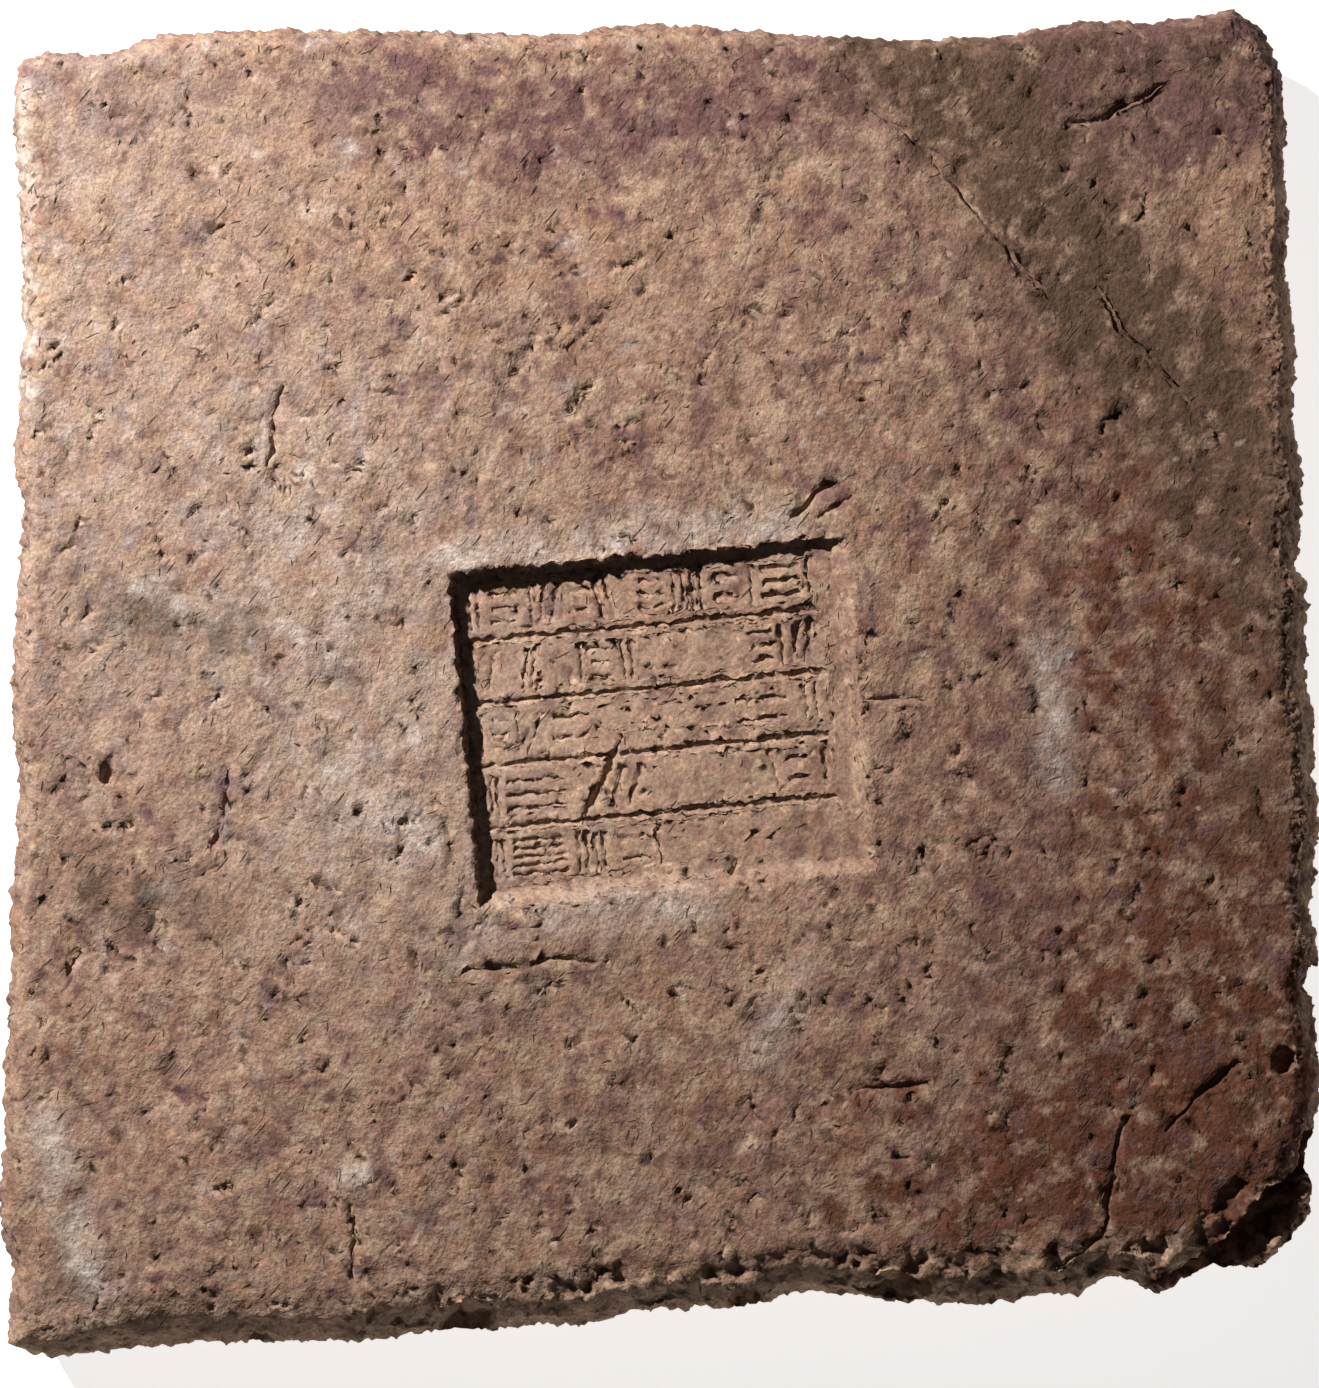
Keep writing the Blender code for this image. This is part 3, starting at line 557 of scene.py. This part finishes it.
def face_relief(settings):
    """The relief of the stamped face."""
    draw = np.random.default_rng(SEED)
    x, y = map_places()
    wander = (MARK_STRAY * mottle(draw, 0.006, 0.0009), MARK_STRAY * mottle(draw, 0.006, 0.0009),
              mottle(draw, 0.009, 0.0012))
    heights = settings.lump * mottle(draw, 0.040, 0.006, 1.4, (1.0, 1.6))
    heights += 0.24 * settings.lump * mottle(draw, 0.009, 0.0018, 0.8)
    heights += settings.grain * mottle(draw, 0.0024, 0.0006, 0.6)
    flakes = mottle(draw, 0.010, 0.0010, 1.2)
    heights -= FLAKE_DEPTH * ramp(flakes, 0.8, 1.05)
    heights += FLAKE_RISE * ramp(-flakes, 0.9, 1.2)
    drag = mottle(draw, 0.010, 0.0009, 0.8, (0.10, 1.0))
    heights += DRAG_HEIGHT * drag * ramp(y, 0.02, 0.10)
    stamp = ramp(stamp_distance(x, y), -0.0015, 0.0015)
    heights *= 1 - 0.45 * stamp
    chaff_slits(heights, x, y, draw, wander, settings)
    pits(heights, x, y, draw, wander, settings)
    for _, half_width, depth, points in LINE_MARKS:
        cut_line(heights, x, y, points, half_width, depth, wander)
    for _, middle, radius, depth in ROUND_MARKS:
        cut_round(heights, x, y, middle, radius, depth, wander)
    lower = rim_distance("lower", x, y)
    wave = 0.003 * mottle(draw, 0.030, 0.008)
    ragged = 1 - ramp(lower + wave, 0.0, 0.016)
    ragged *= 0.22 + 0.78 * ramp(x, -0.100, 0.000)
    heights -= ragged * settings.edge_fall
    heights += ragged * settings.edge_lump * mottle(draw, 0.022, 0.0042, 1.1)
    scarp = ramp(mottle(draw, 0.026, 0.0034, 1.25), 0.10, 0.75)
    heights -= ragged * SCARP_DEPTH * scarp
    right = rim_distance("right", x, y)
    heights += RIGHT_RISE * (1 - ramp(right, 0.0005, 0.0080)) * ramp(y, 0.000, 0.050)
    combed = (1 - ramp(right, 0.004, 0.010)) * ramp(y, -0.110, -0.080)
    heights += combed * COMB_HEIGHT * mottle(draw, 0.0035, 0.0007, 0.6, (1.0, 0.12))
    return heights


def side_relief(settings, shape):
    """The relief of a side or of the underside: coarse lumps, pits and torn patches."""
    draw = np.random.default_rng(SEED + shape[0])
    heights = 2.0 * settings.lump * mottle(draw, 0.026, 0.005, 1.3, shape=shape)
    heights += 1.3 * settings.lump * mottle(draw, 0.010, 0.0018, 1.0, shape=shape)
    heights -= SIDE_PIT_DEPTH * ramp(mottle(draw, 0.012, 0.0016, 1.1, shape=shape), 1.1, 1.5)
    torn = mottle(draw, 0.006, 0.0010, 0.9, (0.4, 1.0), shape=shape)
    return heights - SIDE_TEAR_DEPTH * ramp(torn, 1.5, 1.9)


# The mesh of the surface.


def select_only(item):
    """Makes one object the only selected and the active one."""
    bpy.ops.object.select_all(action="DESELECT")
    item.select_set(True)
    bpy.context.view_layer.objects.active = item


def apply_modifier(item, name, kind, **values):
    """Adds a modifier and applies it."""
    select_only(item)
    modifier = item.modifiers.new(name, kind)
    for key, value in values.items():
        setattr(modifier, key, value)
    bpy.ops.object.modifier_apply(modifier=name)


def copy_solid():
    """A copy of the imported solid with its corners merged, as the start of the surface."""
    node = frame["nodes"][CAD_BRICK]
    select_only(node)
    bpy.ops.object.duplicate()
    piece = bpy.context.active_object
    piece.name = SURFACE
    piece.data.name = SURFACE
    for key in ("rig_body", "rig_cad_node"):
        del piece[key]
    piece.parent = None
    piece.data.materials.clear()
    bpy.ops.object.mode_set(mode="EDIT")
    bpy.ops.mesh.select_all(action="SELECT")
    bpy.ops.mesh.remove_doubles(threshold=0.000001)
    bpy.ops.object.mode_set(mode="OBJECT")
    return piece


def read_points(mesh):
    """The places and the normals of a mesh's vertices."""
    count = len(mesh.vertices)
    points, normals = np.empty(count * 3), np.empty(count * 3)
    mesh.vertices.foreach_get("co", points)
    mesh.vertex_normals.foreach_get("vector", normals)
    return points.reshape(-1, 3), normals.reshape(-1, 3)


def write_points(mesh, points):
    """Puts a mesh's vertices at new places."""
    mesh.vertices.foreach_set("co", points.astype(np.float32).ravel())
    mesh.update()


def allowed_length(face, settings):
    """How long an edge of the surface may be at each place of the face."""
    x, y = map_places()
    bend = np.zeros(face.shape)
    inner = face[1:-1, 1:-1]
    bend[1:-1, 1:-1] = face[2:, 1:-1] + face[:-2, 1:-1] + face[1:-1, 2:] + face[1:-1, :-2] - 4 * inner
    sharp = soften(np.abs(bend), 0.0004)
    allowed = np.full(face.shape, settings.coarse)
    rim = np.minimum.reduce([rim_distance(side, x, y) for side in RIM])
    allowed[rim < 0.010] = settings.coarse * 0.62
    allowed[stamp_distance(x, y) > -0.002] = settings.fine * 1.5
    allowed[sharp > np.quantile(sharp, 1 - settings.busy)] = settings.fine
    return allowed


def split_once(points, triangles, allowed_at):
    """Splits each triangle at the middles of its edges that are too long."""
    count = len(points)
    pairs = np.sort(triangles[:, ((0, 1), (1, 2), (2, 0))].reshape(-1, 2), axis=1)
    keys, place = np.unique(pairs[:, 0].astype(np.int64) * count + pairs[:, 1], return_inverse=True)
    start, end = points[keys // count], points[keys % count]
    middle = (start + end) / 2
    long = np.linalg.norm(start - end, axis=1) > allowed_at(middle)
    if not long.any():
        return points, triangles, False
    index = np.where(long, count + np.cumsum(long) - 1, -1)[place].reshape(-1, 3)
    points = np.vstack((points, middle[long]))
    split = (index >= 0).sum(1)
    kept = [triangles[split == 0]]
    for marks, turned in ((1, 0), (1, 1), (1, 2), (2, 0), (2, 1), (2, 2)):
        corner = np.roll(triangles, -turned, axis=1)
        cut = np.roll(index, -turned, axis=1)
        chosen = (split == marks) & ((cut[:, 0] >= 0) if marks == 1 else (cut[:, 2] < 0))
        a, b, c = corner[chosen].T
        ab, bc, _ = cut[chosen].T
        if marks == 1:
            kept += [np.stack((a, ab, c), 1), np.stack((ab, b, c), 1)]
            continue
        kept.append(np.stack((ab, b, bc), 1))
        near = np.linalg.norm(points[a] - points[bc], axis=1)
        near = near < np.linalg.norm(points[ab] - points[c], axis=1)
        kept.append(np.where(near[:, None], np.stack((a, ab, bc), 1), np.stack((a, ab, c), 1)))
        kept.append(np.where(near[:, None], np.stack((a, bc, c), 1), np.stack((ab, bc, c), 1)))
    whole = split == 3
    a, b, c = triangles[whole].T
    ab, bc, ca = index[whole].T
    kept += [np.stack(three, 1) for three in ((a, ab, ca), (ab, b, bc), (ca, bc, c), (ab, bc, ca))]
    return points, np.vstack(kept), True


def split_edges(piece, face, settings):
    """Splits the edges that are too long for where they lie, until none is."""
    allowed_map = allowed_length(face, settings)

    def allowed_at(middle):
        allowed = read_map(allowed_map, middle[:, 0], middle[:, 1])
        allowed = np.where(middle[:, 2] < SIDE_TOP, SIDE_EDGE, allowed)
        return np.where(middle[:, 2] < UNDERSIDE_TOP, UNDERSIDE_EDGE, allowed)

    mesh = piece.data
    points, _ = read_points(mesh)
    mesh.calc_loop_triangles()
    triangles = np.empty(len(mesh.loop_triangles) * 3, np.int32)
    mesh.loop_triangles.foreach_get("vertices", triangles)
    triangles = triangles.reshape(-1, 3)
    for _ in range(settings.passes):
        points, triangles, changed = split_once(points, triangles, allowed_at)
        if not changed:
            break
    mesh.clear_geometry()
    mesh.vertices.add(len(points))
    mesh.loops.add(len(triangles) * 3)
    mesh.polygons.add(len(triangles))
    mesh.vertices.foreach_set("co", points.astype(np.float32).ravel())
    mesh.loops.foreach_set("vertex_index", triangles.astype(np.int32).ravel())
    mesh.polygons.foreach_set("loop_start", np.arange(0, len(triangles) * 3, 3, dtype=np.int32))
    mesh.update(calc_edges=True)
    mesh.validate()


def push_out(piece, face, settings):
    """Moves each point of the surface by the relief of the face, the sides and the underside."""
    points, normals = read_points(piece.data)
    side = side_relief(settings, face.shape)
    weights = np.abs(normals) ** 3
    weights /= weights.sum(1, keepdims=True)
    up = normals[:, 2] > 0
    moved = points.copy()
    moved[:, 2] += np.where(up, 1, 0) * weights[:, 2] * read_map(face, points[:, 0], points[:, 1])
    under = weights[:, 2] * read_map(side, points[:, 0], points[:, 1])
    under *= ramp(points[:, 2], 0.0, 0.0005)
    moved[:, 2] -= np.where(up, 0, 1) * under
    sign = np.sign(normals)
    foot = ramp(points[:, 2], 0.0, 0.003)
    level = points[:, 2] - CAD_HIGH.z * 0.5
    calm = foot * np.where((normals[:, 0] < 0) | (normals[:, 1] > 0), settings.calm, 1)
    moved[:, 0] += calm * sign[:, 0] * weights[:, 0] * read_map(side, points[:, 1], level)
    moved[:, 1] += calm * sign[:, 1] * weights[:, 1] * read_map(side, -points[:, 0], level + 0.08)
    draw = np.random.default_rng(SEED + 3)
    high = settings.wander * ramp(points[:, 2], 0.045, 0.060)
    rim = np.minimum.reduce([rim_distance(side, points[:, 0], points[:, 1]) for side in RIM])
    free = ramp(rim, 0.004, 0.016)
    free *= 1 - ramp(stamp_distance(points[:, 0], points[:, 1]), -0.006, -0.001)
    for axis in (0, 1):
        near = read_map(mottle(draw, 0.007, 0.0011), points[:, 0], points[:, 1])
        wide = read_map(mottle(draw, 0.040, 0.0070), points[:, 0], points[:, 1])
        moved[:, axis] += high * (near + 1.8 * free * wide)
    moved[:, 0] = np.clip(moved[:, 0], CAD_LOW.x - OUTLINE_ROOM, CAD_HIGH.x + OUTLINE_ROOM)
    moved[:, 1] = np.clip(moved[:, 1], CAD_LOW.y - OUTLINE_ROOM, CAD_HIGH.y + OUTLINE_ROOM)
    moved[:, 2] = np.maximum(moved[:, 2], 0.0)
    write_points(piece.data, moved)


def stain_map(name, draw):
    """How strong one stain is over the face."""
    x, y = map_places()
    edge = 0.50 * mottle(draw, 0.030, 0.002, 1.1)
    most, start = PATCHES[name]
    strength = most * ramp(mottle(draw, 0.034, 0.0016, 1.15), start, start + 1.3)
    # Partly painted light: the lime's random patches lie only on the left, nearer the light, so that
    # side is paler and cooler.
    if name == "lime":
        strength *= ramp(-x, -0.080, 0.060)
    for half_width, most, points in STAINS[name]:
        points = np.array(points, float)
        part = window(x, y, points, half_width * 3)
        away, _ = line_distance(x[part], y[part], points)
        soft = np.exp(-(away / half_width) ** 2 * 0.8)
        strength[part] = np.maximum(strength[part], most * soft)
    return np.clip(strength * (1 + edge), 0, 1.2)


def paint_attributes(piece, face):
    """Writes the stains, among them painted light and painted shade, the crevices for their painted
    shade and the pressed stamp into the mesh, for the material.
    """
    points, normals = read_points(piece.data)
    draw = np.random.default_rng(SEED + 7)
    x, y = points[:, 0], points[:, 1]
    facing = ramp(normals[:, 2], 0.1, 0.6)
    for name in STAINS:
        values = read_map(stain_map(name, draw), x, y)
        # The painted light of the crumb lies on the slopes of the edges as well as on the face.
        values *= 1 if name == "crumb_and_painted_light" else facing
        write_attribute(piece.data, name, values)
    # Painted shade: how far each place lies below its surroundings, used to darken the hollows.
    hollow = soften(face, 0.0009) - face
    write_attribute(piece.data, "hollow", read_map(hollow, x, y) * 1000 * facing)
    write_attribute(piece.data, "pressed", ramp(stamp_distance(x, y), -0.0005, 0.0015) * facing)


def write_attribute(mesh, name, values):
    """Keeps one number for each vertex of a mesh."""
    attribute = mesh.attributes.new(name, "FLOAT", "POINT")
    attribute.data.foreach_set("value", np.asarray(values, np.float32))


# The materials.


class Nodes:
    """A short way to add and join the nodes of one material."""

    def __init__(self, material):
        self.tree = material.node_tree
        self.tree.nodes.clear()

    def add(self, kind, inputs=None, **values):
        node = self.tree.nodes.new("ShaderNode" + kind)
        for key, value in values.items():
            setattr(node, key, value)
        for key, value in (inputs or {}).items():
            self.put(node.inputs[key], value)
        return node

    def put(self, socket, value):
        if isinstance(value, bpy.types.NodeSocket):
            self.tree.links.new(value, socket)
        else:
            socket.default_value = value

    def maths(self, operation, *values, clamp=False):
        node = self.add("Math", operation=operation, use_clamp=clamp)
        for socket, value in zip(node.inputs, values):
            self.put(socket, value)
        return node.outputs[0]

    def mix(self, factor, first, second, blend="MIX"):
        node = self.add("Mix", data_type="RGBA", blend_type=blend)
        self.put(node.inputs["Factor"], factor)
        for socket, value in ((node.inputs[6], first), (node.inputs[7], second)):
            self.put(socket, value)
        return node.outputs[2]

    def step(self, value, low, high, start=0.0, end=1.0):
        node = self.add("MapRange", {"Value": value, "From Min": low, "From Max": high,
                                     "To Min": start, "To Max": end}, interpolation_type="SMOOTHSTEP")
        return node.outputs[0]

    def noise(self, place, scale, detail=4.0, roughness=0.55):
        node = self.add("TexNoise", {"Vector": place, "Scale": scale, "Detail": detail,
                                     "Roughness": roughness})
        return node.outputs[0]

    def attribute(self, name):
        return self.add("Attribute", attribute_name=name).outputs["Fac"]


def opaque(colour):
    """A colour with full alpha."""
    return (*colour, 1.0)


def slit_layer(nodes, place, turn, scale, size, share, stretch):
    """Flecks in some of the cells of a pattern, round or stretched to slits: 1 in a fleck."""
    laid = nodes.add("Mapping", {"Vector": place, "Rotation": (0, 0, math.radians(turn)),
                                 "Scale": (stretch, 1, 1)}, vector_type="TEXTURE").outputs[0]
    cells = nodes.add("TexVoronoi", {"Vector": laid, "Scale": scale, "Randomness": 1.0},
                      voronoi_dimensions="2D")
    picked = nodes.add("SeparateColor", {"Color": cells.outputs["Color"]})
    chosen = nodes.maths("LESS_THAN", picked.outputs[0], share)
    grown = nodes.maths("MULTIPLY_ADD", picked.outputs[1], size * 0.9, size * 0.45)
    near = nodes.maths("DIVIDE", cells.outputs["Distance"], grown)
    return nodes.maths("MULTIPLY", nodes.step(near, 1.0, 0.45), chosen)


def flat_place(nodes, place, level):
    """Places laid flat for the patterns, from above on the face and along the sides below it."""
    upward = nodes.maths("GREATER_THAN", level, 0.6)
    axes = nodes.add("SeparateXYZ", {"Vector": place})
    along = nodes.maths("ADD", axes.outputs[0], axes.outputs[1])
    side = nodes.add("CombineXYZ", {"X": along, "Y": axes.outputs[2]}).outputs[0]
    spread = nodes.add("Mix", {"Factor": upward}, data_type="VECTOR")
    nodes.put(spread.inputs[4], side)
    nodes.put(spread.inputs[5], place)
    sway = nodes.maths("MULTIPLY", nodes.noise(place, 190.0, 1.0), 0.0030)
    bent = nodes.add("VectorMath", operation="ADD")
    nodes.put(bent.inputs[0], spread.outputs[1])
    nodes.put(bent.inputs[1], sway)
    return bent.outputs[0]


def painted_slits(nodes, place):
    """All the layers of slits: 1 in a slit."""
    slits = 0.0
    for layer in SLIT_LAYERS:
        slits = nodes.maths("MAXIMUM", slits, slit_layer(nodes, place, *layer))
    return slits


def bare_clay(nodes, settings, first, second, third):
    """The mottled colour of the clay under its stains."""
    colour = nodes.mix(nodes.step(first, 0.42, 0.60), opaque(settings.clay), opaque(settings.ruddy))
    sand = nodes.maths("MULTIPLY", nodes.step(second, 0.46, 0.60), 0.80)
    colour = nodes.mix(sand, colour, opaque(settings.sandy))
    film = nodes.maths("MULTIPLY", nodes.step(third, 0.49, 0.64), 0.62)
    return nodes.mix(film, colour, opaque(settings.plum))


def lay_stains(nodes, settings, colour, ragged):
    """The colour with each stain over it, as strong as the mesh says and ragged at its edge."""
    for name in STAIN_ORDER:
        strength = nodes.maths("MULTIPLY", nodes.attribute(name), ragged, clamp=True)
        colour = nodes.mix(strength, colour, opaque(getattr(settings, name)))
    return colour


def grit_and_side_shade(nodes, place, level, colour):
    """The colour made uneven by its grit, and a little darker on the sides: painted shade by how
    steeply the surface faces.
    """
    grit = nodes.noise(place, 1100.0, 3.0, 0.7)
    shade = nodes.maths("MULTIPLY", nodes.step(grit, 0.36, 0.66, 0.78, 1.20),
                        nodes.step(level, 0.2, 0.8, 0.80, 1.0))
    grey = nodes.add("CombineColor", {"Red": shade, "Green": shade, "Blue": shade}).outputs[0]
    return nodes.mix(1.0, colour, grey, "MULTIPLY")


def clay_height(nodes, place, bent, slits):
    """The height of the roughness that is finer than the mesh, smoother where the stamp pressed."""
    height = nodes.maths("MULTIPLY", nodes.noise(place, 400.0, 4.0, 0.64), GRIT_BUMP)
    dragged = nodes.add("Mapping", {"Vector": bent, "Rotation": (0, 0, math.radians(66)),
                                    "Scale": (2.2, 1, 1)}, vector_type="TEXTURE").outputs[0]
    tears = nodes.noise(dragged, 300.0, 3.0, 0.60)
    height = nodes.maths("MULTIPLY_ADD", tears, TEAR_BUMP, height)
    rough = nodes.step(nodes.attribute("pressed"), 0.0, 1.0, 1.0, 0.55)
    height = nodes.maths("MULTIPLY", height, rough)
    return nodes.maths("MULTIPLY_ADD", slits, -SLIT_BUMP, height)


def clay_material(settings):
    """Coarse dry clay: mottled, stained, limy in patches, with painted shade (partly dirt) in its slits
    and hollows and a little painted shade on its sides; some stains are painted light, some painted
    shade.
    """
    material = bpy.data.materials.new("clay")
    material.use_nodes = True
    nodes = Nodes(material)
    place = nodes.add("TexCoord").outputs["Object"]
    facing = nodes.add("SeparateXYZ", {"Vector": nodes.add("NewGeometry").outputs["Normal"]})
    level = nodes.maths("ABSOLUTE", facing.outputs[2])
    bent = flat_place(nodes, place, level)

    mottled = nodes.add("TexNoise", {"Vector": place, "Scale": 150.0, "Detail": 5.0,
                                     "Roughness": 0.68}).outputs["Color"]
    first, second, third = nodes.add("SeparateColor", {"Color": mottled}).outputs
    ragged = nodes.maths("ADD", nodes.step(second, 0.66, 0.36), 0.45)
    colour = bare_clay(nodes, settings, first, second, third)
    colour = lay_stains(nodes, settings, colour, ragged)
    colour = grit_and_side_shade(nodes, place, level, colour)
    specks = slit_layer(nodes, bent, *SPECK_LAYER)
    colour = nodes.mix(nodes.maths("MULTIPLY", specks, SPECK_STRENGTH), colour, opaque(settings.lime))

    # Painted shade, partly dirt: the slits and the hollows are darkened towards the dirt colour.
    slits = painted_slits(nodes, bent)
    hollow = nodes.step(nodes.attribute("hollow"), 0.04, 0.34)
    shade_and_dirt = nodes.maths("MAXIMUM", nodes.maths("MULTIPLY", slits, SLIT_SHADE_AND_DIRT),
                        nodes.maths("MULTIPLY", hollow, HOLLOW_SHADE_AND_DIRT))
    colour = nodes.mix(shade_and_dirt, colour, opaque(settings.dirt_and_shade))

    height = clay_height(nodes, place, bent, slits)
    bump = nodes.add("Bump", {"Height": height, "Strength": 1.0, "Distance": 1.0})
    shader = nodes.add("BsdfPrincipled", {"Base Color": colour, "Roughness": settings.roughness,
                                          "Normal": bump.outputs[0]})
    shader.inputs["Specular IOR Level"].default_value = 0.2
    out = nodes.add("OutputMaterial")
    nodes.put(out.inputs["Surface"], shader.outputs[0])
    return material


def floor_material(glow):
    """A pale floor that gives off a little light, so that it stays pale in the raking light."""
    material = bpy.data.materials.new("pale_floor")
    material.use_nodes = True
    shader = material.node_tree.nodes["Principled BSDF"]
    shader.inputs["Base Color"].default_value = (0.80, 0.79, 0.78, 1.0)
    shader.inputs["Roughness"].default_value = 0.9
    shader.inputs["Emission Color"].default_value = WARM_WHITE
    shader.inputs["Emission Strength"].default_value = glow
    return material


# The operators, the panel and the start.


class CLAYBRICK_OT_surface(bpy.types.Operator):
    """Build the weathered clay surface of the brick"""

    bl_idname = "claybrick.surface"
    bl_label = "Brick surface"

    def execute(self, context):
        settings = context.scene.claybrick_relief
        piece = copy_solid()
        face = face_relief(settings)
        split_edges(piece, face, settings)
        push_out(piece, face, settings)
        count = len(piece.data.polygons)
        apply_modifier(piece, "fewer_faces", "DECIMATE", ratio=min(1, settings.triangles / count))
        select_only(piece)
        bpy.ops.object.shade_smooth()
        paint_attributes(piece, face)
        piece.data.materials.append(clay_material(context.scene.claybrick_clay))
        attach(piece, "root")
        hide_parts(CAD_BRICK)
        return {"FINISHED"}


class CLAYBRICK_OT_stage(bpy.types.Operator):
    """Add the pale floor, the studio light and the camera"""

    bl_idname = "claybrick.stage"
    bl_label = "Floor, light and camera"

    def execute(self, context):
        settings = context.scene.claybrick_stage
        bpy.ops.object.select_all(action="DESELECT")
        bpy.ops.mesh.primitive_plane_add(size=settings.floor_size, location=(0, 0, 0))
        floor = context.active_object
        floor.name = "floor"
        floor.data.materials.append(floor_material(settings.floor_glow))
        add_light("key_light", "SPOT", KEY_PLACE, KEY_TARGET, settings.key_power,
                  spot_size=KEY_CONE, spot_blend=1.0, shadow_soft_size=KEY_SOFTNESS)
        add_light("soft_fill", "AREA", FILL_PLACE, (0, 0, 0), settings.fill_power, size=FILL_SIZE)
        world = bpy.data.worlds.new("pale_room")
        world.use_nodes = True
        background = world.node_tree.nodes["Background"]
        background.inputs["Color"].default_value = WARM_WHITE
        background.inputs["Strength"].default_value = settings.room_glow
        context.scene.world = world
        context.scene.view_settings.view_transform = "Standard"
        add_camera(settings.lens)
        return {"FINISHED"}


def add_light(name, kind, place, target, power, **values):
    """A light at a place, pointed at a target."""
    light = bpy.data.lights.new(name, kind)
    light.energy = power
    for key, value in values.items():
        setattr(light, key, value)
    item = bpy.data.objects.new(name, light)
    bpy.context.scene.collection.objects.link(item)
    item.location = place
    item.rotation_euler = (Vector(target) - Vector(place)).to_track_quat("-Z", "Y").to_euler()
    return item


def add_camera(lens):
    """The camera straight above the brick, framed as the photograph is."""
    data = bpy.data.cameras.new("camera")
    data.lens = lens
    data.sensor_width = SENSOR * 1000
    data.sensor_fit = "AUTO"
    data.clip_end = 50.0
    camera = bpy.data.objects.new("camera", data)
    bpy.context.scene.collection.objects.link(camera)
    away = PHOTO_ROWS * METRES_PER_PIXEL * lens / (SENSOR * 1000)
    camera.location = (0.0, VIEW_SHIFT, VIEW_LEVEL + away)
    bpy.context.scene.camera = camera


class CLAYBRICK_PT_panel(bpy.types.Panel):
    """The settings and the pieces of the brick"""

    bl_idname = "CLAYBRICK_PT_panel"
    bl_label = "Clay brick"
    bl_space_type = "VIEW_3D"
    bl_region_type = "UI"
    bl_category = "Clay brick"

    def draw(self, context):
        for group in (context.scene.claybrick_clay, context.scene.claybrick_relief,
                      context.scene.claybrick_stage):
            box = self.layout.box()
            for name in group.bl_rna.properties.keys():
                if name not in ("rna_type", "name"):
                    box.prop(group, name)
        self.layout.operator("claybrick.surface")
        self.layout.operator("claybrick.stage")


SETTINGS = (
    ("claybrick_clay", ClaySettings),
    ("claybrick_relief", ReliefSettings),
    ("claybrick_stage", StageSettings),
)
CLASSES = (ClaySettings, ReliefSettings, StageSettings, CLAYBRICK_OT_surface, CLAYBRICK_OT_stage,
           CLAYBRICK_PT_panel)


def register():
    for item in CLASSES:
        bpy.utils.register_class(item)
    for name, group in SETTINGS:
        setattr(bpy.types.Scene, name, bpy.props.PointerProperty(type=group))


def unregister():
    for name, _ in SETTINGS:
        delattr(bpy.types.Scene, name)
    for item in reversed(CLASSES):
        bpy.utils.unregister_class(item)


def main():
    register()
    bpy.ops.claybrick.surface()
    bpy.ops.claybrick.stage()


if __name__ == "__main__":
    main()
